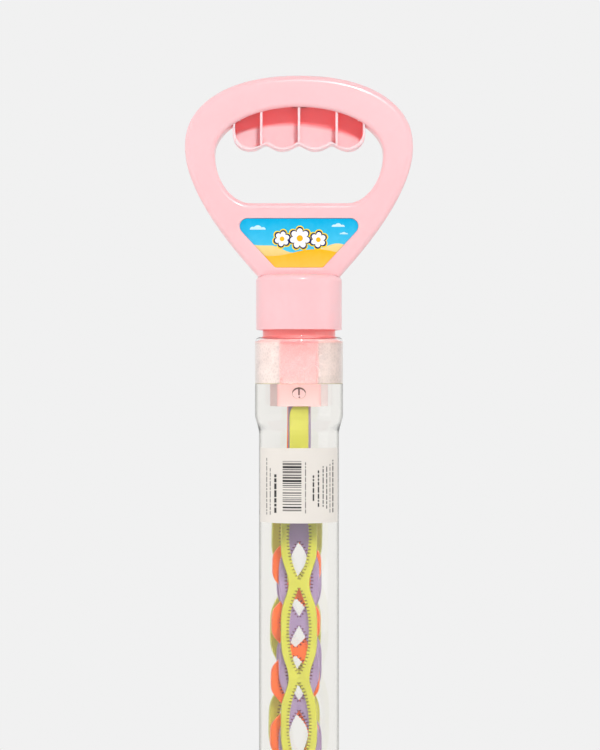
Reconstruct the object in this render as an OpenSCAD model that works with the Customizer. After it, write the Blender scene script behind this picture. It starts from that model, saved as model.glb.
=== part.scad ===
// Bubble wand: a clear tube of bubble liquid with a squeeze-handle wand standing in it.
// Millimetres, +Z up, the viewer looks along +Y. The origin is the centre of the tube's foot.

/* [Tube] */
// Height of the tube from its foot to the shoulder
tube_len = 330; // [300:1:360]
// Outside diameter of the long lower part
tube_d = 40; // [38:0.5:44]
// Outside diameter of the wider top part
upper_d = 44; // [42:0.5:48]
// Height of the wider top part below the shoulder
upper_len = 39; // [30:1:60]
// Height of the taper between the two diameters
taper_len = 8.5; // [6:0.5:16]
// Wall of the tube
tube_wall = 1.2; // [0.9:0.1:1.6]
// Thickness of the tube's floor
tube_floor = 1.8; // [1:0.1:3]
// Rounding of the foot and of the shoulder
tube_round = 2.4; // [1.5:0.1:3.5]
// Outside diameter of the neck under the cap
neck_d = 36.4; // [35.4:0.2:37]
// Wall of the neck
neck_wall = 1.6; // [1.2:0.1:2]
// Height of the neck above the shoulder
neck_len = 26.2; // [22:0.2:32]

/* [Label] */
// Height of the paper label
label_h = 37; // [20:1:60]
// Distance from the taper down to the label's upper edge
label_drop = 7.5; // [2:0.5:90]
// Width of the label along the tube's surface
label_w = 50; // [30:1:70]
// Thickness of the label
label_t = 0.2; // [0.1:0.05:0.4]

/* [Screw cap] */
// Outside diameter of the cap
cap_d = 42.9; // [42.5:0.1:46]
// Height of the cap
cap_h = 27.2; // [20:0.2:28]
// Wall of the cap's skirt
cap_wall = 1.7; // [1.2:0.1:1.9]
// Thickness of the cap's top
cap_top = 2.5; // [2:0.1:4]
// Rounding of the cap's top edge
cap_round = 3; // [1:0.2:4]
// Number of thread starts on the neck and in the cap
lug_count = 3; // [2:1:3]
// Angle that each thread start covers
lug_angle = 44; // [30:1:50]
// Height of a thread start
lug_h = 2.2; // [1.5:0.1:3]
// How far a thread start stands out
lug_depth = 1.2; // [1:0.05:1.3]
// Depth of the neck's starts below its rim
lug_drop = 8; // [5:0.5:10]
// Thickness of the soft seal under the cap's top
seal_t = 2; // [1:0.1:3]
// Width of the seal's ring
seal_w = 5; // [4:0.1:5.4]

/* [Handle] */
// Full width of the handle
handle_w = 113.6; // [106:0.2:120]
// Height of the handle above the cap
handle_h = 99.3; // [97:0.1:106]
// Depth of the handle, front to back
handle_d = 17; // [16:0.2:20]
// Distance from the handle's top down to where it is widest
handle_crown = 35.5; // [33:0.1:38]
// Width of the handle where it meets the cap
handle_foot_w = 36.8; // [36:0.2:42]
// Width of the ring beside the hand opening
side_bar = 14.8; // [14:0.1:16]
// Height of the ring above the hand opening
top_bar = 15.8; // [14.6:0.1:17]
// Distance from the opening's top down to where it is widest
open_crown = 23.2; // [21:0.1:25]
// Height of the opening's flat bottom above the cap
open_base = 35.8; // [34:0.1:37]
// Length of the opening's flat bottom
open_flat = 48; // [44:0.5:52]
// Wall of the handle shells
shell_wall = 1.8; // [1.5:0.1:2]
// Rounding of the handle's outer edges
shell_round = 3.4; // [2:0.2:4]
// Rounding of the edges round the hand opening
open_round = 2.6; // [1.6:0.2:3.2]

/* [Badge] */
// Width of the badge over its top corners
badge_top_w = 59; // [50:0.5:61]
// Width of the badge over its bottom corners
badge_base_w = 26; // [20:0.5:30]
// Height of the badge
badge_h = 24.6; // [20:0.2:25]
// Height of the badge's lower edge above the cap
badge_z = 3.6; // [3:0.1:5]
// Depth of the recess that holds the badge
badge_recess = 1.2; // [0.8:0.1:1.5]
// Thickness of the badge card
badge_t = 0.5; // [0.3:0.1:0.7]
// Radius of the badge's top corners
badge_round = 4; // [3:0.2:4.4]
// Radius of the badge's bottom corners
badge_foot_round = 2; // [1.4:0.2:2.4]

/* [Handle screws] */
// Diameter of a screw's head
screw_head_d = 4.4; // [4:0.1:4.6]
// Thickness of a screw's head
screw_head_h = 1.3; // [1:0.1:1.5]
// Diameter of a screw's thread
screw_d = 2.4; // [2:0.1:2.6]
// Length of a screw under its head
screw_len = 11; // [9:0.5:12]
// Outside diameter of the screw bosses
boss_d = 6; // [5.6:0.1:6.2]
// Half the distance between the two lower screws
screw_side = 22; // [20:0.5:24]
// Height of the two lower screws above the cap
screw_low = 12.3; // [11:0.1:14]

/* [Finger trigger] */
// How far the trigger is squeezed
travel = 7; // [5:0.5:7]
// Number of finger hollows
finger_count = 4; // [3:1:5]
// Width of one finger hollow
finger_w = 16.5; // [15:0.1:16.5]
// How far a hollow dips below the ridges beside it
finger_dip = 2.8; // [1.5:0.1:4]
// Distance from the opening's top down to the trigger's lowest point
trigger_drop = 21.2; // [18:0.1:24]
// How far the trigger's top stands inside the hollow bar
trigger_hide = 3.3; // [2:0.1:3.5]
// Height of the rounded ends of the trigger
trigger_end = 8; // [6:0.2:10]
// How much lower the trigger's top is at its ends than at its middle
trigger_arch = 4; // [3:0.1:5]
// How far the two outer ribs stand beyond the ridges
rib_shift = 2.3; // [0:0.1:3]
// Thickness of the trigger's rim and ribs
trigger_rim = 1.2; // [1:0.1:1.6]
// Thickness of the trigger's back wall
trigger_back = 1.5; // [1:0.1:2]

/* [Pull frame and rod] */
// Width of the frame's legs inside the handle
leg_w = 3.4; // [2.6:0.1:3.6]
// Thickness of the frame, front to back
frame_t = 3.5; // [2.5:0.1:4]
// Height of the frame's lower bar
bar_h = 4.5; // [3:0.1:5]
// Diameter of the pull rod
rod_d = 4.8; // [4:0.1:5]
// Thickness of the rod's head on the frame
rod_head_h = 1.1; // [0.8:0.1:1.3]
// Thickness of the rod's flat lower blade
blade_t = 2; // [1.5:0.1:2.4]
// Width of the rod's flat lower blade
blade_w = 8; // [6:0.2:9]
// Outside diameter of the return spring
spring_d = 10; // [9:0.2:12]
// Wire diameter of the return spring
spring_wire = 0.8; // [0.6:0.1:1]
// Thickness of the washer under the spring
washer_t = 1; // [0.6:0.1:1.4]

/* [Stem] */
// Width of the square stem
stem_w = 19; // [18:0.1:19.6]
// Depth of the square stem, front to back
stem_d = 19.5; // [19:0.1:20]
// Wall of the stem
stem_wall = 1.3; // [1:0.1:1.4]
// Rounding of the stem's upright edges
stem_round = 1.6; // [1:0.1:2.4]
// Distance from the neck's rim down to the stem's lower end
stem_drop = 60.7; // [58:0.1:66]
// Diameter of the stem's round waist through the cap
waist_d = 12; // [10:0.2:12]
// Height of the stem's locking head inside the handle
lock_h = 2; // [1:0.1:3]
// Distance from the stem's lower end up to the pivot
pivot_rise = 6.5; // [6:0.1:9]
// Diameter of the pivot pin
pivot_d = 5.6; // [4.6:0.1:6]
// Diameter of the pivot pin's head
pivot_head_d = 8.4; // [8:0.1:10]
// Thickness of the pivot pin's head
pivot_head_h = 1; // [0.6:0.1:1.6]

/* [Strips] */
// Thickness of a strip
strip_t = 2; // [1.4:0.1:2.2]
// Distance from one strip to the next in the stack
strip_pitch = 3; // [2.8:0.05:3.1]
// Distance from the pivot up to the drive pin
drive_rise = 12; // [11:0.1:14]
// Diameter of the drive pin
drive_d = 3; // [2.4:0.1:3.2]
// Angle that the outer strips swing from upright
fan_angle = 1.9; // [0.5:0.1:1.9]
// Lean to the left of the rear lime strip at rest
rear_lean = 0.55; // [0:0.05:0.8]
// Lean to the left of the orange strip at rest
orange_lean = 0.6; // [0:0.05:0.8]
// Full width of the front lime strip's loops
lime_w = 15; // [13:0.1:16]
// Full width of the rear lime strip's loops
rear_w = 17; // [15:0.1:17]
// Full width of a purple loop
purple_w = 16; // [14:0.1:17]
// Width of a strip between two loops
loop_neck = 8.5; // [7.5:0.1:9.5]
// Width of the band round a lime or purple loop, without its teeth
loop_rim = 2.1; // [1.8:0.1:3]
// Length of solid strip between two holes
loop_web = 3.4; // [3:0.1:6]
// Number of loops on a lime strip
lime_loops = 5; // [3:1:5]
// Gap from the tube's floor up to the lime strips
lime_gap = 16.6; // [14:0.1:24]
// Distance from the pivot down to the first lime loop
lime_start = 47.5; // [42:0.1:48.5]
// Width of the lime strip above its loops
lime_stem_w = 7.8; // [7.4:0.1:9]
// Number of loops on a purple strip
purple_loops = 5; // [3:1:5]
// Gap from the tube's floor up to the purple strips
purple_gap = 17.6; // [15:0.1:25]
// Distance from the pivot down to the first purple loop
purple_start = 71.5; // [66:0.1:72]
// Width of the purple strip above its loops
purple_stem_w = 8.4; // [8:0.1:9.6]
// Number of loops on the orange strip
orange_loops = 7; // [4:1:8]
// Gap from the tube's floor up to the orange strip
orange_gap = 28.2; // [24:0.1:36]
// Distance from the pivot down to the first orange loop
orange_start = 71.8; // [66:0.1:72]
// Full width of an orange loop
orange_w = 18.4; // [15:0.1:19]
// Width of the band round an orange loop, without its teeth
orange_rim = 2.6; // [2.2:0.1:3.4]
// Length of one tooth along the inside of a loop
tooth_pitch = 1.7; // [1.5:0.1:3]
// Depth of the teeth
tooth_depth = 1.2; // [0.4:0.1:1.4]

/* [Clearances] */
// Gap between pieces that slide or turn on each other
slip = 0.3; // [0.2:0.05:0.4]
// Radial gap between a pin and its hole
fit = 0.1; // [0.05:0.01:0.15]
// Radial gap between the drive pin and its slots
slot_fit = 0.15; // [0.12:0.01:0.2]
// Gap between the threads of the neck and the cap
thread_gap = 0.35; // [0.25:0.05:0.4]

/* [Hidden] */
$fn = 96;
// Overrun of a cut past the face that it opens
over = 1;

// Heights of the main joints between the pieces
neck_top = tube_len + neck_len;
cap_under = neck_top + seal_t;
cap_z = cap_under + cap_top;
stem_base = neck_top - stem_drop;
pivot_z = stem_base + pivot_rise;
drive_z = pivot_z + drive_rise;
handle_top_z = cap_z + handle_h;
open_top_z = handle_top_z - top_bar;
open_base_z = cap_z + open_base;
taper_z = tube_len - upper_len;
label_z = taper_z - taper_len - label_drop - label_h;

// Radii and half sizes that several pieces share
neck_r = neck_d / 2;
cap_bore_r = cap_d / 2 - cap_wall;
half_d = handle_d / 2;
cavity_d = half_d - shell_wall;
waist_r = waist_d / 2;
rod_r = rod_d / 2;

// Steps along the top, the side and the foot of half an outline
top_steps = 14;
side_steps = 12;
foot_steps = 3;
round_steps = 4;
// Fullness of the handle's top curve and of the opening's, where 2 is an ellipse
handle_full_share = 2.22;
open_full_share = 2;
// Pull of each side curve's ends, as shares of the height and width that it spans
handle_pull_shares = [0.39, 0.21, 0.14];
open_pull_shares = [0.49, 0.56, 0];
// Fullness of a loop's sides, where 1 is a cosine wave
loop_full_share = 2.3;
// Fullness of a loop's hole, where 1 is a sine curve
hole_full_share = 0.6;
// Steps along one side of a loop's outer edge
loop_steps = 12;

function bezier(a, b, c, d, t) =
    a * pow(1 - t, 3) + b * 3 * t * pow(1 - t, 2) + c * 3 * t * t * (1 - t) + d * pow(t, 3);

// Half an outline from its top, down the right side, to just short of the middle of its foot
function half_outline(top, wide, mid, foot, foot_w, full, pull) =
    let (corner = [foot_w / 2, foot], side = [wide / 2, mid], rise = mid - foot)
    concat(
        [for (i = [0 : top_steps - 1]) let (a = 90 - 90 * i / top_steps)
            [wide / 2 * pow(cos(a), 2 / full), mid + (top - mid) * pow(sin(a), 2 / full)]],
        [for (i = [0 : side_steps - 1])
            bezier(side, side - [0, rise * pull[0]],
                corner + [(wide - foot_w) / 2 * pull[1], rise * pull[2]], corner, i / side_steps)],
        [for (i = [0 : foot_steps - 1]) [foot_w / 2 * (1 - i / foot_steps), foot]]);

// Whole outline, clockwise from the top
function outline(half) = concat(half, [[0, half[len(half) - 1][1]]],
    [for (i = [len(half) - 1 : -1 : 1]) [-half[i][0], half[i][1]]]);

// Outline moved outwards by a distance, point by point
function grown(pts, d) = [for (i = [0 : len(pts) - 1])
    let (n = len(pts), t = pts[(i + 1) % n] - pts[(i + n - 1) % n])
    pts[i] + d * [-t[1], t[0]] / norm(t)];

handle_line = outline(half_outline(handle_top_z, handle_w, handle_top_z - handle_crown,
    cap_z - cap_round, handle_foot_w, handle_full_share, handle_pull_shares));
open_line = outline(half_outline(open_top_z, handle_w - 2 * side_bar, open_top_z - open_crown,
    open_base_z, open_flat, open_full_share, open_pull_shares));
// The cavity stops at the handle's floor, which stands on the cap
floor_z = cap_z + shell_wall;
cavity_line = [for (p = grown(handle_line, -shell_wall)) [p[0], max(p[1], floor_z)]];

// One layer of a shell's wall: the outline, its growth and its depth
function layer(pts, d, y) = [for (p = grown(pts, d)) [p[0], y, p[1]]];

// Layers from the parting face over the front and back to the parting face, then the cavity
shell_layers = concat(
    [layer(handle_line, 0, 0)],
    [for (i = [0 : round_steps]) let (a = 90 * i / round_steps)
        layer(handle_line, -shell_round * (1 - cos(a)), -half_d + shell_round * (1 - sin(a)))],
    [for (i = [round_steps : -1 : 0]) let (a = 90 * i / round_steps)
        layer(open_line, open_round * (1 - cos(a)), -half_d + open_round * (1 - sin(a)))],
    [layer(open_line, 0, 0), layer(open_line, shell_wall, 0),
        layer(open_line, shell_wall, -cavity_d), layer(cavity_line, 0, -cavity_d),
        layer(cavity_line, 0, 0)]);

// Places of the handle screws: one in the top bar, two under the badge
screw_top_z = handle_top_z - shell_wall - boss_d / 2;
screw_places = [[0, screw_top_z], [-screw_side, cap_z + screw_low], [screw_side, cap_z + screw_low]];
screw_seat = half_d - screw_head_h - slip;

// The frame's lower bar rests on two stops in the handle
bar_top = open_base_z - shell_wall - rod_head_h - travel - slip;
bar_base = bar_top - bar_h;
stop_x = boss_d * 2;
hub_r = rod_r + shell_wall;

// Outline of the trigger, moved inwards by a wall
trigger_low = open_top_z - trigger_drop;
trigger_top = open_top_z + trigger_hide;
trigger_half = finger_count * finger_w / 2;
trigger_steps = 8;
trigger_y = cavity_d - slip;
function trigger_top_z(x) = trigger_top - trigger_arch * pow(x / trigger_half, 2);
function finger_z(x) =
    let (u = (x + trigger_half) / finger_w, g = abs(2 * (u - floor(u)) - 1),
        outer = abs(x) > trigger_half - finger_w / 2)
    trigger_low + (outer ? trigger_end * (1 - sqrt(max(0, 1 - g * g)))
        : finger_dip * (4 * pow(g, 2) - pow(g, 8)) / 3);
function trigger_line(wall) =
    let (s = 1 - wall / trigger_half, n = trigger_steps * finger_count)
    concat(
        [for (i = [0 : n]) let (x = -trigger_half * cos(180 * i / n)) [x * s, finger_z(x) + wall]],
        [for (i = [0 : trigger_steps]) let (x = trigger_half * (1 - 2 * i / trigger_steps))
            [x * s, trigger_top_z(x) - wall]]);

// Middle line of a frame leg, half the travel below the middle of the hollow
leg_first = 8;
leg_last = top_steps + 9;
function leg_point(i) = (handle_line[i] + open_line[i]) / 2 - [0, travel / 2];
function leg_side(i) = let (t = leg_point(i + 1) - leg_point(i - 1)) [-t[1], t[0]] / norm(t);
// Tongue of the frame that hooks into each end of the trigger
tongue_in = trigger_half - 3 * trigger_rim;
tongue_top = leg_point(leg_first)[1] + leg_w;
tongue_h = leg_w;

// The stem's locking head clears the badge's recess
lock_z = floor_z + fit;
lock_y = half_d - badge_recess - shell_wall - slip;

// Rod, washer and spring inside the stem
stem_ceiling = neck_top - stem_wall * 2;
shoulder_r = cap_bore_r - seal_w - slip;
blade_base = drive_z - drive_d;
head_top = drive_z + travel + drive_d;
collar_z = head_top + drive_d;
collar_h = washer_t * 2;
washer_z = collar_z + collar_h;
spring_base = washer_z + washer_t;
spring_top = stem_ceiling - fit;
spring_bore_r = spring_d / 2 - spring_wire * 2;

// Half width of a strip's outer edge, t running from 0 to 1 over one loop
function loop_half(w, neck, t) =
    neck / 2 + (w - neck) / 2 * (1 - pow((1 + cos(360 * t)) / 2, loop_full_share));

// Points down one side of a strip's loops
function loops_edge(n, pitch, w, neck, side) = [for (k = [0 : n - 1], i = [0 : loop_steps - 1])
    let (t = i / loop_steps) [side * loop_half(w, neck, t), -(k + t) * pitch]];

// Toothed outline of one hole
function hole_line(pitch, half) =
    let (len_z = pitch - loop_web, n = 2 * floor(len_z / tooth_pitch),
        side = [for (i = [1 : n - 1]) let (t = i / n)
            [half * pow(sin(180 * t), hole_full_share)
                    - (i % 2 == 0 ? 0 : min(tooth_depth, half / 2)),
                -loop_web / 2 - t * len_z]])
    concat([[0, -loop_web / 2]],
        [for (p = side) [max(p[0], tooth_depth / 4), p[1]]],
        [[0, -loop_web / 2 - len_z]],
        [for (i = [len(side) - 1 : -1 : 0]) [-max(side[i][0], tooth_depth / 4), side[i][1]]]);

// Slot with round ends between two points
function slot_line(a, b, r) =
    let (turn = atan2(b[1] - a[1], b[0] - a[0]), step = 180 / (4 * round_steps))
    concat([for (i = [0 : 4 * round_steps]) b + r * [cos(turn - 90 + i * step), sin(turn - 90 + i * step)]],
        [for (i = [0 : 4 * round_steps]) a + r * [cos(turn + 90 + i * step), sin(turn + 90 + i * step)]]);

// Rectangle with rounded corners, centred
module rounded_box(w, h, r) {
    for (x = [-1, 1], y = [-1, 1]) translate([x * (w / 2 - r), y * (h / 2 - r)]) circle(r);
    square([w - 2 * r, h], center = true);
    square([w, h - 2 * r], center = true);
}

// Flat shape in X and Z, as thick as stated, its near face at a depth
module slab(y, t) {
    translate([0, y + t, 0]) rotate([90, 0, 0]) linear_extrude(t) children();
}

// Part of a turned ring over an angle
module sector(r_in, r_out, z, h, angle) {
    rotate([0, 0, -angle / 2]) rotate_extrude(angle = angle)
        translate([r_in, z]) square([r_out - r_in, h]);
}

module bubble_tube() {
    r = tube_d / 2;
    top_r = upper_d / 2;
    arc = [for (i = [0 : round_steps]) 90 * i / round_steps];
    outer = concat([[0, 0]],
        [for (a = arc) [r - tube_round * (1 - sin(a)), tube_round * (1 - cos(a))]],
        [[r, taper_z - taper_len], [top_r, taper_z]],
        [for (a = arc) [top_r - tube_round * (1 - cos(a)), tube_len - tube_round * (1 - sin(a))]],
        [[neck_r, tube_len], [neck_r, neck_top]]);
    in_round = tube_round - tube_wall;
    inner = concat([[neck_r - neck_wall, neck_top], [neck_r - neck_wall, tube_len - tube_wall]],
        [for (i = [round_steps : -1 : 0]) let (a = arc[i])
            [top_r - tube_wall - in_round * (1 - cos(a)),
                tube_len - tube_wall - in_round * (1 - sin(a))]],
        [[top_r - tube_wall, taper_z], [r - tube_wall, taper_z - taper_len]],
        [for (i = [round_steps : -1 : 0]) let (a = arc[i])
            [r - tube_wall - in_round * (1 - sin(a)), tube_floor + in_round * (1 - cos(a))]],
        [[0, tube_floor]]);
    color([0.9, 0.93, 0.92, 0.35]) {
        rotate_extrude() polygon(concat(outer, inner));
        for (i = [0 : lug_count - 1]) rotate([0, 0, 360 * i / lug_count])
            sector(neck_r - neck_wall / 2, neck_r + lug_depth, neck_top - lug_drop, lug_h,
                lug_angle);
    }
}

module tube_label() {
    r = tube_d / 2;
    color([0.95, 0.93, 0.91]) rotate([0, 0, -90])
        sector(r, r + label_t, label_z, label_h, 180 * label_w / (PI * r));
}

module seal_ring() {
    color([0.96, 0.96, 0.94]) translate([0, 0, neck_top]) difference() {
        cylinder(h = seal_t, r = cap_bore_r - fit);
        translate([0, 0, -over]) cylinder(h = seal_t + 2 * over, r = cap_bore_r - seal_w);
    }
}

// Solid outer form of the cap, up to its rounded top edge
module cap_form() {
    r = cap_d / 2;
    rotate_extrude() polygon(concat([[0, cap_z - cap_h], [r, cap_z - cap_h]],
        [for (i = [0 : 2 * round_steps]) let (a = 90 * i / (2 * round_steps))
            [r - cap_round * (1 - cos(a)), cap_z - cap_round * (1 - sin(a))]],
        [[0, cap_z]]));
}

module screw_cap() {
    color([1, 0.81, 0.83]) {
        difference() {
            cap_form();
            translate([0, 0, cap_z - cap_h - over])
                cylinder(h = cap_h - cap_top + over, r = cap_bore_r);
            translate([0, 0, cap_under - over]) cylinder(h = cap_top + 2 * over, r = waist_r + fit);
        }
        for (i = [0 : lug_count - 1]) rotate([0, 0, 360 * i / lug_count])
            sector(neck_r + thread_gap, cap_bore_r + cap_wall / 2,
                neck_top - lug_drop - lug_h - thread_gap, lug_h, lug_angle);
    }
}

// Outline of the badge, grown by a margin: two round corners on each side, joined by the line that
// touches both
module badge_shape(grow) {
    foot = [badge_base_w / 2 - badge_foot_round, cap_z + badge_z + badge_foot_round];
    top = [badge_top_w / 2 - badge_round, cap_z + badge_z + badge_h - badge_round];
    side = top - foot;
    turn = atan2(side[1], side[0]) - acos((badge_foot_round - badge_round) / norm(side));
    top_arc_steps = 2 * round_steps;
    right = concat(
        [for (i = [0 : round_steps]) let (a = -90 + (turn + 90) * i / round_steps)
            foot + (badge_foot_round + grow) * [cos(a), sin(a)]],
        [for (i = [0 : top_arc_steps]) let (a = turn + (90 - turn) * i / top_arc_steps)
            top + (badge_round + grow) * [cos(a), sin(a)]]);
    polygon(concat(right, [for (i = [len(right) - 1 : -1 : 0]) [-right[i][0], right[i][1]]]));
}

// Front shell of the handle, before its own details
module shell_form() {
    n = len(handle_line);
    k = len(shell_layers);
    polyhedron(
        points = [for (l = shell_layers, p = l) p],
        faces = [for (j = [0 : k - 1], i = [0 : n - 1])
            let (a = j * n + i, b = j * n + (i + 1) % n, c = ((j + 1) % k) * n + (i + 1) % n,
                d = ((j + 1) % k) * n + i)
            each [[a, b, c], [a, c, d]]],
        convexity = 6);
}

// What both shells share: the form less the trigger's slot, with the screw bosses
module shell_body() {
    slot_half = trigger_half + slip;
    difference() {
        union() {
            shell_form();
            for (s = screw_places) translate([s[0], 0, s[1]]) rotate([90, 0, 0])
                cylinder(h = half_d - shell_wall / 2, d = boss_d);
        }
        translate([-slot_half, -cavity_d, trigger_low])
            cube([2 * slot_half, cavity_d + over, open_top_z + trigger_hide - trigger_low]);
        cap_form();
    }
}

// Room for the stem's waist in the handle's floor and behind the badge
module waist_hole() {
    translate([0, 0, cap_z - cap_round])
        cylinder(h = lock_z + lock_h + slip - cap_z + cap_round, r = waist_r + fit);
}

module handle_front() {
    color([1, 0.81, 0.83]) difference() {
        union() {
            shell_body();
            slab(-half_d + badge_recess / 2, badge_recess / 2 + shell_wall) badge_shape(shell_wall);
        }
        slab(-half_d - over, over + badge_recess) badge_shape(0);
        waist_hole();
        for (s = screw_places) translate([s[0], over, s[1]]) rotate([90, 0, 0])
            cylinder(h = screw_len + over + fit - screw_seat, d = screw_d + fit);
    }
}

module handle_back() {
    stop_w = shell_wall;
    color([1, 0.81, 0.83]) difference() {
        union() {
            mirror([0, 1, 0]) shell_body();
            for (s = [-1, 1]) translate([s * stop_x - stop_w / 2, 0, floor_z - shell_wall / 2])
                cube([stop_w, cavity_d + shell_wall / 2, bar_base - fit - floor_z + shell_wall / 2]);
        }
        waist_hole();
        for (s = screw_places) translate([s[0], 0, s[1]]) {
            translate([0, half_d + over, 0]) rotate([90, 0, 0])
                cylinder(h = handle_d, d = screw_d + 2 * fit);
            translate([0, half_d + over, 0]) rotate([90, 0, 0])
                cylinder(h = half_d + over - screw_seat, d = screw_head_d + 2 * fit);
        }
    }
}

module handle_badge() {
    color([0.1, 0.77, 0.94])
        slab(-half_d + badge_recess - badge_t, badge_t) badge_shape(-fit);
}

module handle_screws() {
    color([0.75, 0.76, 0.78]) for (s = screw_places) translate([s[0], screw_seat, s[1]]) {
        rotate([90, 0, 0]) cylinder(h = screw_len, d = screw_d);
        difference() {
            rotate([-90, 0, 0]) cylinder(h = screw_head_h, d = screw_head_d);
            for (turn = [0, 90]) rotate([0, turn, 0])
                translate([0, screw_head_h, 0])
                    cube([screw_head_d / 2, screw_head_h, screw_head_h / 2], center = true);
        }
    }
}

module finger_trigger() {
    boss_gap = boss_d / 2 + slip;
    color([1, 0.8, 0.83]) difference() {
        union() {
            difference() {
                slab(-trigger_y, 2 * trigger_y) polygon(trigger_line(0));
                slab(-trigger_y - over, 2 * trigger_y + over - trigger_back)
                    polygon(trigger_line(trigger_rim));
            }
            for (i = [1 : finger_count - 1]) {
                x = -trigger_half + i * finger_w + rib_shift * sign(2 * i - finger_count);
                translate([x - trigger_rim / 2, -trigger_y, finger_z(x) + trigger_rim / 2])
                    cube([trigger_rim, 2 * trigger_y - trigger_back / 2,
                        trigger_top_z(x) - finger_z(x) - trigger_rim]);
            }
        }
        // Room for the boss in the top bar when the trigger is squeezed
        translate([-boss_gap, -trigger_y - over, screw_top_z - boss_d / 2 - travel - slip])
            cube([2 * boss_gap, 2 * (trigger_y + over), boss_d + travel]);
        // Windows in the two ends for the frame's tongues
        for (s = [-1, 1]) translate([s * (trigger_half - trigger_rim / 2), 0,
            tongue_top - tongue_h / 2])
            cube([2 * trigger_rim, frame_t + 2 * fit, tongue_h + 2 * fit], center = true);
    }
}

module trigger_frame() {
    hub_w = 2 * (hub_r + shell_wall);
    color([0.98, 0.98, 0.97]) difference() {
        union() {
            for (s = [0, 1]) mirror([s, 0, 0]) slab(-frame_t / 2, frame_t) {
                polygon(concat(
                    [for (i = [leg_first : leg_last]) leg_point(i) + leg_side(i) * leg_w / 2],
                    [for (i = [leg_last : -1 : leg_first])
                        leg_point(i) - leg_side(i) * leg_w / 2]));
                translate([tongue_in, tongue_top - tongue_h])
                    square([leg_point(leg_first)[0] - tongue_in + leg_w / 4, tongue_h]);
                translate([0, bar_base]) square([leg_point(leg_last)[0] + leg_w / 2, bar_h]);
            }
            translate([-hub_w / 2, -hub_r, bar_base]) cube([hub_w, 2 * hub_r, bar_h]);
        }
        translate([0, 0, bar_base - over]) cylinder(h = bar_h + 2 * over, r = rod_r + fit);
    }
}

module pull_rod() {
    color([0.93, 0.93, 0.92]) {
        translate([0, 0, bar_top]) cylinder(h = rod_head_h, r = hub_r);
        translate([0, 0, collar_z]) cylinder(h = bar_top - collar_z + rod_head_h / 2, r = rod_r);
        translate([0, 0, collar_z]) cylinder(h = collar_h, r = blade_w / 2);
        difference() {
            translate([-blade_w / 2, -blade_t / 2, blade_base])
                cube([blade_w, blade_t, collar_z - blade_base + collar_h / 2]);
            translate([0, over + blade_t, drive_z]) rotate([90, 0, 0])
                cylinder(h = 2 * (over + blade_t), d = drive_d + 2 * fit);
        }
    }
}

module drive_pin() {
    reach = 2 * strip_pitch + strip_t / 2 + slip;
    color([0.78, 0.79, 0.8]) translate([0, reach, drive_z]) rotate([90, 0, 0])
        cylinder(h = 2 * reach, d = drive_d);
}

module return_spring() {
    color([0.7, 0.72, 0.74]) difference() {
        translate([0, 0, spring_base]) cylinder(h = spring_top - spring_base, d = spring_d);
        translate([0, 0, spring_base - over])
            cylinder(h = spring_top - spring_base + 2 * over, r = spring_bore_r);
    }
}

module spring_washer() {
    color([0.72, 0.74, 0.76]) translate([0, 0, washer_z]) difference() {
        cylinder(h = washer_t, d = spring_d + 2 * slip);
        translate([0, 0, -over]) cylinder(h = washer_t + 2 * over, r = rod_r + fit);
    }
}

// Front half of the stem that carries the pivot; the back half is its mirror image
module stem_half() {
    difference() {
        union() {
            translate([0, 0, stem_base]) linear_extrude(neck_top - stem_base)
                rounded_box(stem_w, stem_d, stem_round);
            translate([0, 0, neck_top]) cylinder(h = seal_t, r = shoulder_r);
            translate([0, 0, cap_under - over])
                cylinder(h = lock_z + lock_h - cap_under + over, r = waist_r);
            translate([-waist_r - lock_h, -lock_y, lock_z])
                cube([2 * (waist_r + lock_h), 2 * lock_y, lock_h]);
        }
        translate([-stem_w / 2 + stem_wall, -stem_d / 2 + stem_wall, stem_base - over])
            cube([stem_w - 2 * stem_wall, stem_d - 2 * stem_wall,
                stem_ceiling - stem_base + over]);
        translate([0, 0, stem_ceiling - over])
            cylinder(h = lock_z + lock_h - stem_ceiling + 2 * over, r = rod_r + fit);
        translate([0, stem_d, pivot_z]) rotate([90, 0, 0])
            cylinder(h = 2 * stem_d, d = pivot_d + 3 * fit);
        translate([-stem_w, 0, stem_base - over])
            cube([2 * stem_w, stem_d, lock_z + lock_h - stem_base + 2 * over]);
    }
}

module stem_front() {
    color([1, 0.76, 0.79]) stem_half();
}

module stem_back() {
    color([1, 0.76, 0.79]) mirror([0, 1, 0]) stem_half();
}

module pivot_pin() {
    slit = pivot_d / 7;
    half = stem_d / 2;
    color([1, 0.72, 0.76]) translate([0, 0, pivot_z]) difference() {
        union() {
            translate([0, half, 0]) rotate([90, 0, 0]) cylinder(h = stem_d, d = pivot_d);
            translate([0, half + pivot_head_h, 0]) rotate([90, 0, 0])
                cylinder(h = pivot_head_h, d = pivot_head_d);
        }
        translate([-slit / 2, -half - over, -pivot_d])
            cube([slit, strip_pitch + over, 2 * pivot_d]);
    }
}

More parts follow.
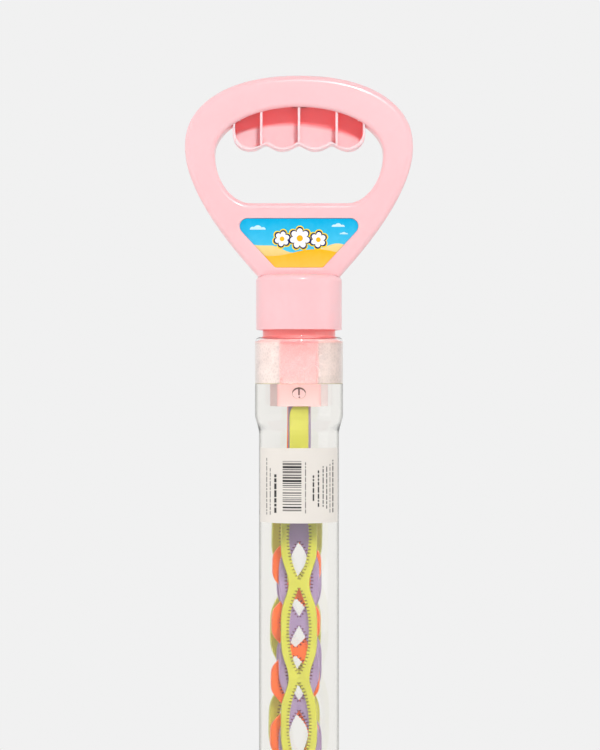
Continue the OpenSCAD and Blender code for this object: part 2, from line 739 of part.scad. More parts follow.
// One strip of the stack. place counts from the middle strip, lean and swing are angles to
// the left and shoulder says which side of the strip is rounded off under the stem
module strip(place, loops, gap, start, w, rim, stem, lean, swing, shoulder) {
    pitch = (pivot_z - tube_floor - gap - start - loop_web / 2) / loops;
    hub = strip_pitch - 2 * fit;
    bore = pivot_d + 2 * fit;
    half = stem / 2;
    cut = stem_base + slip - pivot_z;
    cut_w = half * 2 / 3;
    cut_h = half * 3 / 2;
    far = drive_rise + travel;
    slot_a = drive_rise * [-sin(lean), cos(lean)];
    slot_b = far * [-sin(lean + swing), cos(lean + swing)];
    end_z = -start - loops * pitch;
    neck = loop_neck;
    translate([0, place * strip_pitch, pivot_z]) rotate([0, lean, 0]) difference() {
        union() {
            slab(-strip_t / 2, strip_t) difference() {
                union() {
                    polygon(concat(
                        [[half, 0], [half, -start]],
                        [for (p = loops_edge(loops, pitch, w, neck, 1)) p - [0, start]],
                        [for (a = [0 : 15 : 180])
                            [neck / 2 * cos(a), end_z - loop_web / 2 * sin(a)]],
                        [for (i = [loops * loop_steps - 1 : -1 : 0])
                            loops_edge(loops, pitch, w, neck, -1)[i] - [0, start]],
                        [[-half, -start], [-half, 0]]));
                    circle(d = pivot_d + 4 * stem_wall - 2 * fit);
                    if (swing != 0) {
                        translate([-half, 0]) square([stem, far]);
                        translate([0, far]) circle(r = min(half, drive_d));
                    }
                    if (swing == 0) {
                        translate([-stem_w / 2 + stem_wall + fit, -half])
                            square([stem_w - 2 * stem_wall - 2 * fit, half]);
                    }
                }
                for (k = [0 : loops - 1]) translate([0, -start - k * pitch])
                    polygon(hole_line(pitch, w / 2 - rim));
                circle(d = bore);
                if (swing != 0) polygon(slot_line(slot_a, slot_b, drive_d / 2 + slot_fit));
                if (shoulder != 0) mirror([shoulder > 0 ? 1 : 0, 0]) difference() {
                    translate([half - cut_w, cut - cut_h]) square([half, cut_h]);
                    translate([half - cut_w, cut - cut_h]) scale([cut_w, cut_h]) circle(r = 1);
                }
            }
            slab(-hub / 2, hub) difference() {
                circle(d = pivot_d + 3 * stem_wall);
                circle(d = bore);
            }
        }
    }
}

module lime_strip(place, w, lean, swing) {
    color([0.86, 0.88, 0.35])
        strip(place, lime_loops, lime_gap, lime_start, w, loop_rim, lime_stem_w, lean, swing,
            swing);
}

module purple_strip(place, swing) {
    color([0.75, 0.66, 0.82])
        strip(place, purple_loops, purple_gap, purple_start, purple_w, loop_rim,
            purple_stem_w, 0, swing, 0);
}

module lime_strip_front() {
    lime_strip(-2, lime_w, 0, fan_angle);
}

module purple_strip_front() {
    purple_strip(-1, fan_angle / 2);
}

module orange_strip() {
    color([0.96, 0.43, 0.13])
        strip(0, orange_loops, orange_gap, orange_start, orange_w, orange_rim, purple_stem_w,
            orange_lean, 0, 0);
}

module purple_strip_back() {
    purple_strip(1, -fan_angle / 2);
}

module lime_strip_back() {
    lime_strip(2, rear_w, rear_lean, -fan_angle - rear_lean);
}

bubble_tube();
tube_label();
seal_ring();
screw_cap();
handle_front();
handle_back();
handle_badge();
handle_screws();
finger_trigger();
trigger_frame();
pull_rod();
drive_pin();
return_spring();
spring_washer();
stem_front();
stem_back();
pivot_pin();
lime_strip_front();
purple_strip_front();
orange_strip();
purple_strip_back();
lime_strip_back();
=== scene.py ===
"""Looks of the bubble wand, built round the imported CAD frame. Metres, +Z up, viewed along +Y."""
import math
import random

import bmesh
import bpy
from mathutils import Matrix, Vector


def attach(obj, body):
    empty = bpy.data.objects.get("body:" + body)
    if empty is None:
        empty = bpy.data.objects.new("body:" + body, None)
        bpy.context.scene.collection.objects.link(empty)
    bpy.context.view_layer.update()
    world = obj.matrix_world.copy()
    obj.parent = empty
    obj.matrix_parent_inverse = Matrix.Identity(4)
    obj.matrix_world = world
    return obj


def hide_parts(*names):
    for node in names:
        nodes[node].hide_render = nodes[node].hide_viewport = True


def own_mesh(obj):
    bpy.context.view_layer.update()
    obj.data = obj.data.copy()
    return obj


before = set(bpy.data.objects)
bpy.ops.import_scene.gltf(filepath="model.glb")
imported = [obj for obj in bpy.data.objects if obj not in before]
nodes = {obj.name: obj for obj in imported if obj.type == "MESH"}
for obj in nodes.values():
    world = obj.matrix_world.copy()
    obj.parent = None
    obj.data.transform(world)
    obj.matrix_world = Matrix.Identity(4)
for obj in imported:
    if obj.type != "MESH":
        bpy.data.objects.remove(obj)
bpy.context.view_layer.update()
MM = 0.001

# Sizes in millimetres, as in the CAD source
TUBE_R, UPPER_R, WALL, FLOOR, TUBE_ROUND = 20.0, 22.0, 1.2, 1.8, 2.4
TAPER_LOW, TAPER_TOP, SHOULDER = 282.5, 291.0, 330.0
NECK_R, NECK_WALL, NECK_TOP = 18.2, 1.6, 356.2
LUG_TOP, LUG_H, LUG_DEPTH, LUG_ANGLE, LUGS = 350.4, 2.2, 1.2, 44.0, 3
CAP_R, CAP_BASE, CAP_TOP, CAP_ROUND = 21.45, 333.5, 360.7, 3.0
CAP_BORE, CAP_UNDER, WAIST, CAP_LUG_R, CAP_LUG_TOP = 19.75, 358.2, 6.1, 18.55, 347.85
HALF_D, CAVITY, SHELL, OUT_ROUND, IN_ROUND = 8.5, 6.7, 1.8, 3.4, 2.6
LIQUID_TOP, OVERLAP = 306.5, 0.05
FLOOR_Z = 362.5


# Mesh helpers
def in_scene(name, data):
    obj = bpy.data.objects.new(name, data)
    bpy.context.scene.collection.objects.link(obj)
    return obj


def smooth(mesh, angle=35):
    mesh.polygons.foreach_set("use_smooth", [True] * len(mesh.polygons))
    mesh.set_sharp_from_angle(angle=math.radians(angle))


def new_object(name, verts, faces, angle=35):
    """Object of points in millimetres, with its faces turned outwards."""
    mesh = bpy.data.meshes.new(name)
    mesh.from_pydata([Vector(v) * MM for v in verts], [], faces)
    bm = bmesh.new()
    bm.from_mesh(mesh)
    bmesh.ops.remove_doubles(bm, verts=bm.verts, dist=1e-7)
    bmesh.ops.recalc_face_normals(bm, faces=bm.faces)
    bm.to_mesh(mesh)
    bm.free()
    smooth(mesh, angle)
    return in_scene(name, mesh)


def join(name, objs):
    """One object of several, which are removed."""
    bm = bmesh.new()
    for o in objs:
        bm.from_mesh(o.data)
    for o in objs:
        bpy.data.objects.remove(o)
    mesh = bpy.data.meshes.new(name)
    bm.to_mesh(mesh)
    bm.free()
    smooth(mesh)
    return in_scene(name, mesh)


def loft(name, layers, closed=True, angle=35):
    """Skin over rings of points. The last ring joins the first, or else both ends are filled."""
    n, k = len(layers[0]), len(layers)
    verts = [p for ring in layers for p in ring]
    faces = []
    for j in range(k if closed else k - 1):
        for i in range(n):
            a, b = j * n + i, j * n + (i + 1) % n
            c, d = ((j + 1) % k) * n + (i + 1) % n, ((j + 1) % k) * n + i
            faces.append((a, b, c, d))
    if not closed:
        faces.append(tuple(range(n)))
        faces.append(tuple((k - 1) * n + i for i in range(n)))
    return new_object(name, verts, faces, angle)


def lathe(name, profile, steps=192, radius=None):
    """Turned solid of a closed profile of (r, z). radius may change r by the angle in degrees."""
    rings = []
    for s in range(steps):
        turn = 360 * s / steps
        ring = []
        for r, z in profile:
            if radius:
                r = radius(r, turn)
            ring.append((r * math.cos(math.radians(turn)), r * math.sin(math.radians(turn)), z))
        rings.append(ring)
    return loft(name, rings)


def arc(cx, cz, r, a0, a1, steps):
    return [(cx + r * math.cos(math.radians(a0 + (a1 - a0) * i / steps)),
             cz + r * math.sin(math.radians(a0 + (a1 - a0) * i / steps))) for i in range(steps + 1)]


def prism(name, pts, y0, y1):
    """Outline of (x, z) points pushed from depth y0 to y1."""
    return loft(name, [[(x, y0, z) for x, z in pts], [(x, y1, z) for x, z in pts]], False)


def rod(name, x, z, r, y0, y1, steps=48):
    return prism(name, [(x + r * math.cos(2 * math.pi * i / steps),
                         z + r * math.sin(2 * math.pi * i / steps)) for i in range(steps)], y0, y1)


def clockwise(pts):
    """The same outline, running clockwise as seen from the front."""
    area = sum(a[0] * b[1] - b[0] * a[1] for a, b in zip(pts, pts[1:] + pts[:1]))
    return pts if area < 0 else pts[::-1]


def grown(pts, d):
    """Clockwise outline moved outwards by d."""
    out, n = [], len(pts)
    for i, (x, z) in enumerate(pts):
        (ax, az), (bx, bz) = pts[i - 1], pts[(i + 1) % n]
        tx, tz = bx - ax, bz - az
        size = math.hypot(tx, tz)
        out.append((x - tz / size * d, z + tx / size * d))
    return out


def flat_fill(contours):
    """Triangles over flat contours, as indices into all their points."""
    bm = bmesh.new()
    for pts in contours:
        ring = [bm.verts.new((x, 0, z)) for x, z in pts]
        for a, b in zip(ring, ring[1:] + ring[:1]):
            bm.edges.new((a, b))
    bm.verts.index_update()
    bmesh.ops.triangle_fill(bm, use_beauty=True, edges=bm.edges[:], normal=(0, -1, 0))
    tris = [tuple(v.index for v in f.verts) for f in bm.faces]
    bm.free()
    return tris


def plate(name, contours, y0, y1, edge=0.15):
    """Flat piece from depth y0 to y1: an outline, then its holes. Its edges are chamfered."""
    contours = [clockwise(c) for c in contours]
    inset = [grown(c, edge if i else -edge) for i, c in enumerate(contours)]
    rows = [(inset, y0), (contours, y0 + edge), (contours, y1 - edge), (inset, y1)]
    verts = [(x, y, z) for lines, y in rows for c in lines for x, z in c]
    total = sum(len(c) for c in contours)
    faces, start = [], 0
    for c in contours:
        n = len(c)
        for j in range(3):
            for i in range(n):
                a, b = j * total + start + i, j * total + start + (i + 1) % n
                faces.append((a, b, b + total, a + total))
        start += n
    tris = flat_fill(inset)
    faces += tris + [tuple(i + 3 * total for i in t) for t in tris]
    return new_object(name, verts, faces)


def circle(x, z, r, steps=48):
    return [(x + r * math.sin(2 * math.pi * i / steps), z + r * math.cos(2 * math.pi * i / steps))
            for i in range(steps)]


def cut(obj, *cutters, operation="DIFFERENCE"):
    """Boolean cuts, applied to the mesh. The cutters are removed."""
    for c in cutters:
        m = obj.modifiers.new("cut", "BOOLEAN")
        m.operation, m.object, m.solver = operation, c, "EXACT"
    graph = bpy.context.evaluated_depsgraph_get()
    mesh = bpy.data.meshes.new_from_object(obj.evaluated_get(graph))
    obj.modifiers.clear()
    obj.data = mesh
    for c in cutters:
        bpy.data.objects.remove(c)
    smooth(mesh)
    return obj


def bevel(obj, width):
    m = obj.modifiers.new("edge", "BEVEL")
    m.width, m.segments, m.limit_method = width * MM, 3, "ANGLE"
    m.angle_limit = math.radians(30)
    m.harden_normals = False
    m.miter_outer = "MITER_ARC"
    return obj


# Nodes of materials
def srgb(*rgb):
    """Linear colour of an sRGB colour given in 0 to 255."""
    return tuple((c / 255 / 12.92 if c / 255 <= 0.04045 else ((c / 255 + 0.055) / 1.055) ** 2.4)
                 for c in rgb) + (1.0,)


def feed(tree, n, values):
    """Gives a node's sockets their constants, or the outputs that they follow."""
    for key, value in values.items():
        if isinstance(value, bpy.types.NodeSocket):
            tree.links.new(value, n.inputs[key])
        else:
            n.inputs[key].default_value = value


def add(tree, kind, values=None, **settings):
    """Outputs of a new shader node."""
    n = tree.nodes.new("ShaderNode" + kind)
    for key, value in settings.items():
        setattr(n, key, value)
    feed(tree, n, values or {})
    return n.outputs


def calc(tree, operation, *values, clamp=False):
    return add(tree, "Math", dict(enumerate(values)), operation=operation, use_clamp=clamp)["Value"]


def remap(tree, value, low, high, to_low=0.0, to_high=1.0, **settings):
    return add(tree, "MapRange", {"Value": value, "From Min": low, "From Max": high, "To Min": to_low,
                                  "To Max": to_high}, **settings)["Result"]


def noise(tree, place, scale, detail):
    return add(tree, "TexNoise", {"Vector": place, "Scale": scale, "Detail": detail})["Fac"]


def blend(tree, share, a, b, kind="MIX"):
    return add(tree, "Mix", {"Factor": share, "A": a, "B": b}, data_type="RGBA",
               blend_type=kind)["Result"]


def blend_shaders(tree, share, a, b):
    return add(tree, "MixShader", {"Fac": share, 1: a, 2: b})["Shader"]


def ramp(tree, value, *stops):
    """Colour ramp through stops of (position, colour)."""
    n = tree.nodes.new("ShaderNodeValToRGB")
    marks = n.color_ramp.elements
    marks[0].position, marks[0].color = stops[0]
    marks[1].position, marks[1].color = stops[-1]
    for place, colour in stops[1:-1]:
        marks.new(place).color = colour
    feed(tree, n, {"Fac": value})
    return n.outputs["Color"]


def bumps(tree, height, strength, distance):
    return add(tree, "Bump", {"Height": height, "Strength": strength, "Distance": distance})["Normal"]


def new_material(name):
    """New material, its tree, its main shader, the place on the object, and that place's X, Y, Z."""
    mat = bpy.data.materials.new(name)
    mat.use_nodes = True
    tree = mat.node_tree
    place = add(tree, "TexCoord")["Object"]
    return mat, tree, tree.nodes["Principled BSDF"], place, add(tree, "SeparateXYZ", {"Vector": place})


def surface(tree, shader):
    feed(tree, tree.nodes["Material Output"], {"Surface": shader})


# Where the trigger's cells are reddened: a painted coral shadow under the handle's top bar, with
# a painted red glow of strength CELL_GLOW. In metres: the depths where the tint ends and is full,
# and an arched lower line, which fades in from CELL_LOW to CELL_HIGH at x = -CELL_MIDDLE and lies
# lower beside it by CELL_FALL times the distance squared
CELL_DEPTH_OUT, CELL_DEPTH_IN = 0.0062, 0.005
CELL_MIDDLE, CELL_FALL, CELL_LOW, CELL_HIGH, CELL_GLOW = 0.005, 6, 0.4356, 0.4376, 0.09


def plastic(name, colour, second, rough=0.3, grain=900.0, bump=0.02, coat=0.0, hollow=None, deep=None,
            open_at=0.55, reach=0.0, local=False, glow=0.0, cells=None, **sockets):
    """Moulded plastic: slow colour drift, fine grain in roughness and bump. hollow and deep are
    painted shade: tints of its corners and hollows, by ambient occlusion, where light only comes
    from wall to wall. glow is painted light: how much of its colour it gives off. cells is a
    painted coral shadow with a painted red glow, over the upper part of the trigger's cells, by
    position on the trigger."""
    mat, tree, bsdf, place, xyz = new_material(name)
    fine = noise(tree, place, grain, 3)
    tone = ramp(tree, noise(tree, place, 28, 4), (0.3, colour), (0.7, second))
    # Painted shade in corners and hollows, by ambient occlusion
    if hollow:
        light = add(tree, "AmbientOcclusion", {"Distance": reach}, samples=6, only_local=local)["AO"]
        tint = ramp(tree, light, (0.04, deep), (open_at / 2, hollow), (open_at, (1, 1, 1, 1)))
        tone = blend(tree, 1, tone, tint, "MULTIPLY")
    # Painted shadow and painted red glow on the upper part of the trigger's cells
    if cells:
        within = remap(tree, calc(tree, "ABSOLUTE", xyz["Y"]), CELL_DEPTH_OUT, CELL_DEPTH_IN)
        arch = calc(tree, "POWER", calc(tree, "ADD", xyz["X"], CELL_MIDDLE), 2)
        over = remap(tree, calc(tree, "MULTIPLY_ADD", arch, CELL_FALL, xyz["Z"]), CELL_LOW, CELL_HIGH)
        share = calc(tree, "MULTIPLY", within, over)
        tone = blend(tree, share, tone, cells, "MULTIPLY")
        feed(tree, bsdf, {"Emission Strength": calc(tree, "MULTIPLY", share, CELL_GLOW),
                          "Emission Color": cells})
    # Painted light: the surface gives off this share of its colour
    if glow:
        feed(tree, bsdf, {"Emission Strength": glow, "Emission Color": tone})
    feed(tree, bsdf, {"Base Color": tone, "Roughness": remap(tree, fine, 0, 1, rough - 0.04, rough + 0.04),
                      "Normal": bumps(tree, fine, bump, 0.00003), "Coat Weight": coat,
                      "Coat Roughness": 0.08})
    feed(tree, bsdf, {key.replace("_", " "): value for key, value in sockets.items()})
    return mat


# Slant, from 0 straight on to 1 at the edge, where the painted grey line of a clear body, painted shade at
# its edge, starts and is full
RIM_FROM, RIM_TO = 0.62, 0.76


def clear(name, ior, tint, shade, rim=0.0, ripple=0.0):
    """Clear body that lets the lamps through: glass for sight, tinted transparency for shadow.
    rim is how much of a grey line shows below the froth where it is seen at a slant: painted shade at the
    edge."""
    mat, tree, bsdf, place, xyz = new_material(name)
    wave = noise(tree, place, 40, 2)
    # Painted shade: a grey line mixed in where the body is seen at a slant
    slant = remap(tree, add(tree, "LayerWeight", {"Blend": 0.5})["Facing"], RIM_FROM, RIM_TO, 0, rim)
    line = calc(tree, "MULTIPLY", slant, calc(tree, "LESS_THAN", xyz["Z"], LIQUID_TOP * MM))
    grey = add(tree, "BsdfTransparent", {"Color": (0.3, 0.3, 0.29, 1)})["BSDF"]
    lamps_through = add(tree, "BsdfTransparent", {"Color": shade})["BSDF"]
    feed(tree, bsdf, {"Base Color": tint, "Transmission Weight": 1, "IOR": ior,
                      "Roughness": remap(tree, wave, 0, 1, 0, 0.03),
                      "Normal": bumps(tree, wave, ripple, 0.0002)})
    seen = blend_shaders(tree, line, bsdf.outputs["BSDF"], grey)
    surface(tree, blend_shaders(tree, add(tree, "LightPath")["Is Shadow Ray"], seen, lamps_through))
    return mat


# Where the froth's tints change, in metres: across from lit to shaded, beside the stem in colour
# and in thickness, up into the neck, and down to the line on the liquid
LIT_X, SHADED_X = -0.006, 0.018
STEM_X, STEM_X_OUT, THIN_X, THICK_X = 0.0085, 0.01, 0.007, 0.013
NECK_FROM, NECK_FULL, LINE_FROM, LINE_FULL = 0.3265, 0.329, 0.3070, 0.3067


def foam(name, colour, shaded, middle, blush, line):
    """Froth on the inside of the wall: small cells, part clear, part white, over what is behind.
    Its tone is painted light to the left and painted shade to the right, and it gives off painted
    light, 0.1 of its colour and up to 0.33 in the neck. middle and blush are painted tints, across
    the width of the stem and in the neck. They stand for the pink of the stem and the cap in the
    froth at rest, and stay when the wand is out."""
    mat, tree, bsdf, place, xyz = new_material(name)
    cells = add(tree, "TexVoronoi", {"Vector": place, "Scale": 620}, feature="DISTANCE_TO_EDGE")
    beside = calc(tree, "ABSOLUTE", xyz["X"])
    film = remap(tree, cells["Distance"], 0, 0.22, 0.18, 0.06)
    patch = remap(tree, noise(tree, place, 150, 5), 0.35, 0.65, -0.06, 0.14)
    flank = remap(tree, beside, THIN_X, THICK_X, 0, 0.42)
    cover = calc(tree, "ADD", film, calc(tree, "ADD", patch, flank), clamp=True)
    top = remap(tree, xyz["Z"], NECK_FROM, NECK_FULL)
    # Painted light and shade: lit tone to the left, shaded to the right, painted pink of the stem and cap,
    # and a painted glow
    tone = blend(tree, remap(tree, xyz["X"], LIT_X, SHADED_X), colour, shaded)
    tone = blend(tree, remap(tree, beside, STEM_X, STEM_X_OUT), middle, tone)
    tone = blend(tree, top, tone, blush)
    tone = blend(tree, remap(tree, xyz["Z"], LINE_FROM, LINE_FULL), tone, line)
    feed(tree, bsdf, {"Base Color": tone, "Roughness": 0.5, "Emission Color": tone,
                      "Emission Strength": remap(tree, top, 0, 1, 0.1, 0.33)})
    surface(tree, blend_shaders(tree, calc(tree, "ADD", cover, top, clamp=True),
                                add(tree, "BsdfTransparent")["BSDF"], bsdf.outputs["BSDF"]))
    return mat


def print_ink(name, low, high, z0, z1):
    """Printed colour that runs from one tone to another between two heights in millimetres."""
    mat, tree, bsdf, place, xyz = new_material(name)
    grain = noise(tree, place, 350, 4)
    height = remap(tree, xyz["Z"], z0 * MM, z1 * MM)
    share = calc(tree, "ADD", height, remap(tree, grain, 0, 1, -0.25, 0.25), clamp=True)
    feed(tree, bsdf, {"Base Color": blend(tree, share, low, high), "Specular IOR Level": 0.15,
                      "Roughness": remap(tree, grain, 0, 1, 0.25, 0.35)})
    return mat


# Materials
def soft(weight, scale, radius=(1.0, 0.2, 0.2)):
    """Sockets of a plastic that lets light in, with how far each colour goes."""
    return {"Subsurface_Weight": weight, "Subsurface_Radius": radius, "Subsurface_Scale": scale}


# Sockets of a thin strip: light let in, painted shade at its own teeth and a painted glow of 0.2
def sheer(*radius):
    return {**soft(0.35, 0.002, radius), "local": True, "reach": 0.0012, "glow": 0.2}


# Painted shade: CORAL and CORAL_DEEP tint the corners and hollows of the pink parts
CORAL, CORAL_DEEP = (1.0, 0.34, 0.34, 1), (0.95, 0.16, 0.17, 1)
pink = plastic("pink_moulding", srgb(255, 197, 201), srgb(255, 201, 205), rough=0.3, coat=0.3,
               hollow=CORAL, deep=CORAL_DEEP, reach=0.006, open_at=0.45, **soft(0.25, 0.003))
# The trigger gets painted shade in its corners and a painted coral shadow and glow in its cells
trigger_pink = plastic("trigger_moulding", srgb(255, 216, 219), srgb(255, 220, 223), rough=0.4,
                       hollow=CORAL, deep=CORAL_DEEP, reach=0.0042, open_at=0.42,
                       cells=(1.0, 0.36, 0.37, 1), **soft(0.6, 0.005))
# The stem gets painted shade in its own corners and a painted glow of 0.08
stem_pink = plastic("stem_moulding", srgb(253, 196, 195), srgb(253, 200, 198), rough=0.25,
                    hollow=(0.9, 0.6, 0.55, 1), deep=(0.5, 0.25, 0.2, 1), reach=0.0012, open_at=0.4,
                    local=True, glow=0.08, Sheen_Weight=0.8, Sheen_Roughness=0.5)
# The pin's slit and hole get painted dark shade
pin_pink = plastic("pin_moulding", srgb(255, 205, 205), srgb(255, 210, 208), rough=0.25,
                   hollow=(0.5, 0.16, 0.08, 1), deep=(0.12, 0.02, 0.01, 1), reach=0.003, open_at=0.6)
# The strips get painted shade at their teeth and a painted glow, from sheer()
lime = plastic("lime_moulding", srgb(190, 190, 58), srgb(198, 197, 70), rough=0.3,
               hollow=(0.62, 0.56, 0.2, 1), deep=(0.3, 0.24, 0.05, 1), **sheer(1, 1, 0.15))
purple = plastic("purple_moulding", srgb(153, 129, 170), srgb(163, 139, 178), rough=0.3,
                 hollow=(0.55, 0.36, 0.5, 1), deep=(0.25, 0.08, 0.15, 1), **sheer(1, 0.7, 1))
orange = plastic("orange_moulding", srgb(244, 98, 2), srgb(248, 110, 8), rough=0.3,
                 hollow=(0.75, 0.35, 0.2, 1), deep=(0.4, 0.1, 0.02, 1), **sheer(1, 0.5, 0.05))
# Dark materials of painted shade, for the sheets in the gaps between the strips' teeth
GROOVE_SHADES = {"lime": plastic("lime_groove_shade", srgb(134, 118, 12), srgb(150, 132, 20), rough=0.5),
           "purple": plastic("purple_groove_shade", srgb(104, 36, 78), srgb(118, 46, 90), rough=0.5),
           "orange": plastic("orange_groove_shade", srgb(140, 24, 2), srgb(158, 34, 4), rough=0.5)}
white = plastic("frame_moulding", srgb(236, 236, 233), srgb(242, 241, 238), rough=0.4)
rubber = plastic("seal_foam", srgb(228, 227, 222), srgb(236, 234, 230), rough=0.7, bump=0.3,
                 grain=1800)
steel = plastic("zinc_steel", srgb(176, 178, 181), srgb(196, 198, 201), rough=0.3, bump=0.1,
                Metallic=1.0)
# The label paper gives off a quarter of its colour: painted light
paper = plastic("label_paper", srgb(208, 202, 195), srgb(213, 207, 200), rough=0.55, grain=2600,
                bump=0.12, glow=0.25)
ink = plastic("label_ink", srgb(40, 38, 38), srgb(58, 55, 54), rough=0.5, grain=4000)
ink_pale = plastic("label_ink_pale", srgb(118, 113, 110), srgb(146, 140, 136), rough=0.5,
                   grain=4000)
sky = print_ink("badge_sky", srgb(84, 204, 242), srgb(2, 180, 230), 372, 388)
sand = print_ink("badge_sand", srgb(255, 203, 84), srgb(250, 187, 24), 364, 374)
sand_pale = print_ink("badge_sand_pale", srgb(238, 208, 126), srgb(250, 226, 160), 370, 378)
navy = print_ink("badge_navy", srgb(16, 18, 78), srgb(24, 26, 96), 364, 389)
yellow = print_ink("badge_yellow", srgb(252, 214, 18), srgb(255, 226, 44), 364, 389)
petal = print_ink("badge_white", srgb(246, 244, 250), srgb(255, 255, 255), 364, 389)
cloud_ink = print_ink("badge_cloud", srgb(176, 230, 250), srgb(214, 242, 252), 376, 388)
# The tube gets a painted grey edge line at a slant, rim 0.34
tube_clear = clear("tube_clear", 1.49, srgb(254, 253, 252), srgb(252, 251, 250), 0.34, 0.04)
liquid_clear = clear("bubble_liquid", 1.33, srgb(254, 254, 251), srgb(253, 252, 249))
# Froth: painted lit and shaded tones, painted pink of the stem and coral of the cap, and a painted glow
froth = foam("wall_froth", srgb(246, 236, 231), srgb(222, 209, 202), srgb(248, 172, 174),
             srgb(244, 142, 140), srgb(190, 182, 104))


def dress(names, mat, edge=0.0):
    for name in names:
        obj = nodes[name]
        obj.data.materials.clear()
        obj.data.materials.append(mat)
        for p in obj.data.polygons:
            p.material_index = 0
        if edge:
            bevel(obj, edge)


def give(obj, mat, body, slot=None, *stands_for):
    obj.data.materials.clear()
    obj.data.materials.append(mat)
    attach(obj, body)
    if stands_for:
        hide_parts(*stands_for)
    return obj


# Outlines of the handle
def bezier(a, b, c, d, t):
    return tuple(p * (1 - t) ** 3 + q * 3 * t * (1 - t) ** 2 + r * 3 * t * t * (1 - t) + s * t ** 3
                 for p, q, r, s in zip(a, b, c, d))


def outline(top, wide, mid, foot, foot_w, full, pull, steps=56):
    """Closed outline, clockwise from the top: an eased ellipse above, curved sides, a flat foot."""
    half, rise = [], mid - foot
    for i in range(steps):
        a = math.radians(90 - 90 * i / steps)
        half.append((wide / 2 * math.cos(a) ** (2 / full), mid + (top - mid) * math.sin(a) ** (2 / full)))
    for i in range(steps):
        half.append(bezier((wide / 2, mid), (wide / 2, mid - rise * pull[0]),
                           (foot_w / 2 + (wide - foot_w) / 2 * pull[1], foot + rise * pull[2]),
                           (foot_w / 2, foot), i / steps))
    for i in range(12):
        half.append((foot_w / 2 * (1 - i / 12), foot))
    return half + [(0, foot)] + [(-x, z) for x, z in reversed(half[1:])]


handle_line = outline(460, 113.6, 424.5, 357.7, 36.8, 2.22, (0.39, 0.21, 0.14))
open_line = outline(444.2, 84, 421, 396.5, 48, 2, (0.49, 0.56, 0))
cavity_line = [(x, max(z, FLOOR_Z)) for x, z in grown(handle_line, -SHELL)]
# Depth and half width of the groove between the shells
GROOVE, GROOVE_HALF = 0.22, 0.16


def on_cap(x, y, z):
    """Point lifted to the cap's rounded top where it would lie inside the cap."""
    edge = max(0, min(math.hypot(x, y), CAP_R) - (CAP_R - CAP_ROUND))
    return x, y, max(z, CAP_TOP - CAP_ROUND + math.sqrt(CAP_ROUND ** 2 - edge ** 2))


def shell(name, side, recess):
    """One handle shell, side 1 at the front and -1 at the back, with room for a card or none."""
    def layer(pts, d, y):
        return [on_cap(x, y * side, z) for x, z in grown(pts, d)]
    steps = 12
    turns = [math.radians(90 * i / steps) for i in range(steps + 1)]
    outside = [layer(handle_line, -GROOVE, 0), layer(handle_line, -GROOVE, -GROOVE_HALF * 0.4),
               layer(handle_line, 0, -GROOVE_HALF * 1.6), layer(handle_line, 0, -GROOVE_HALF * 4)]
    outside += [layer(handle_line, -OUT_ROUND * (1 - math.cos(a)),
                      -HALF_D + OUT_ROUND * (1 - math.sin(a))) for a in turns]
    inside = [layer(open_line, IN_ROUND * (1 - math.cos(a)),
                    -HALF_D + IN_ROUND * (1 - math.sin(a))) for a in turns[::-1]]
    inside += [layer(open_line, 0, -GROOVE_HALF * 4), layer(open_line, 0, -GROOVE_HALF * 1.6),
               layer(open_line, GROOVE, -GROOVE_HALF * 0.4), layer(open_line, GROOVE, 0),
               layer(open_line, SHELL, 0), layer(open_line, SHELL, -CAVITY),
               [(x, -CAVITY * side, z) for x, z in cavity_line],
               [(x, 0, z) for x, z in cavity_line]]
    rows, n, face = outside + inside, len(handle_line), len(outside)
    verts = [p for row in rows for p in row]
    faces = []
    for j in range(len(rows)):
        if j != face - 1:
            for i in range(n):
                a, b = j * n + i, j * n + (i + 1) % n
                k = (j + 1) % len(rows) * n - j * n
                faces.append((a, b, b + k, a + k))
    contours = [[(p[0], p[2]) for p in outside[-1]], [(p[0], p[2]) for p in inside[0]]]
    known = [(face - 1) * n + i for i in range(n)] + [face * n + i for i in range(n)]
    if recess:
        m = len(badge_line(0))
        start = len(verts)
        for d, y in ((0.3, -HALF_D), (0.08, -HALF_D + 0.08), (0, -HALF_D + 0.3),
                     (0, -HALF_D + recess)):
            verts += [(x, y, z) for x, z in badge_line(d)]
        for j in range(3):
            for i in range(m):
                a, b = start + j * m + i, start + j * m + (i + 1) % m
                faces.append((a, b, b + m, a + m))
        faces += [tuple(start + 3 * m + i for i in t) for t in flat_fill([badge_line(0)])]
        contours.append(badge_line(0.3))
        known += [start + i for i in range(m)]
    faces += [tuple(known[i] for i in t) for t in flat_fill(contours)]
    return new_object(name, verts, faces)


BADGE = {"top_w": 59.0, "base_w": 26.0, "h": 24.6, "z": 364.3, "round": 4.0, "foot_round": 2.0}


def badge_line(grow, steps=10):
    """Outline of the badge: two round corners on each side and the line that touches both."""
    r0, r1 = BADGE["foot_round"], BADGE["round"]
    foot = (BADGE["base_w"] / 2 - r0, BADGE["z"] + r0)
    top = (BADGE["top_w"] / 2 - r1, BADGE["z"] + BADGE["h"] - r1)
    across, up = top[0] - foot[0], top[1] - foot[1]
    turn = math.degrees(math.atan2(up, across) - math.acos((r0 - r1) / math.hypot(across, up)))
    right = arc(*foot, r0 + grow, -90, turn, steps) + arc(*top, r1 + grow, turn, 90, 2 * steps)
    return right + [(-x, z) for x, z in reversed(right)]


SCREWS, SCREW_R, SCREW_SEAT = [(0, 455.2), (-22, 373), (22, 373)], 2.3, 6.9
TRIGGER_HALF, TRIGGER_Y, TRIGGER_LOW, TRIGGER_TOP, TRIGGER_ARCH = 33.0, 6.4, 423, 447.5, 4
FINGERS, FINGER_W, END_RISE, HOLLOW_RISE = 4, 16.5, 8, 2.8
RIB_X, RIB_HALF, RIM_WALL, GRIP_WALL, GRIP_BACK = 18.8, 0.6, 1.0, 1.2, 1.5
BOSS_HALF, BOSS_LOW, BOSS_TOP = 3.3, 444.9, 452


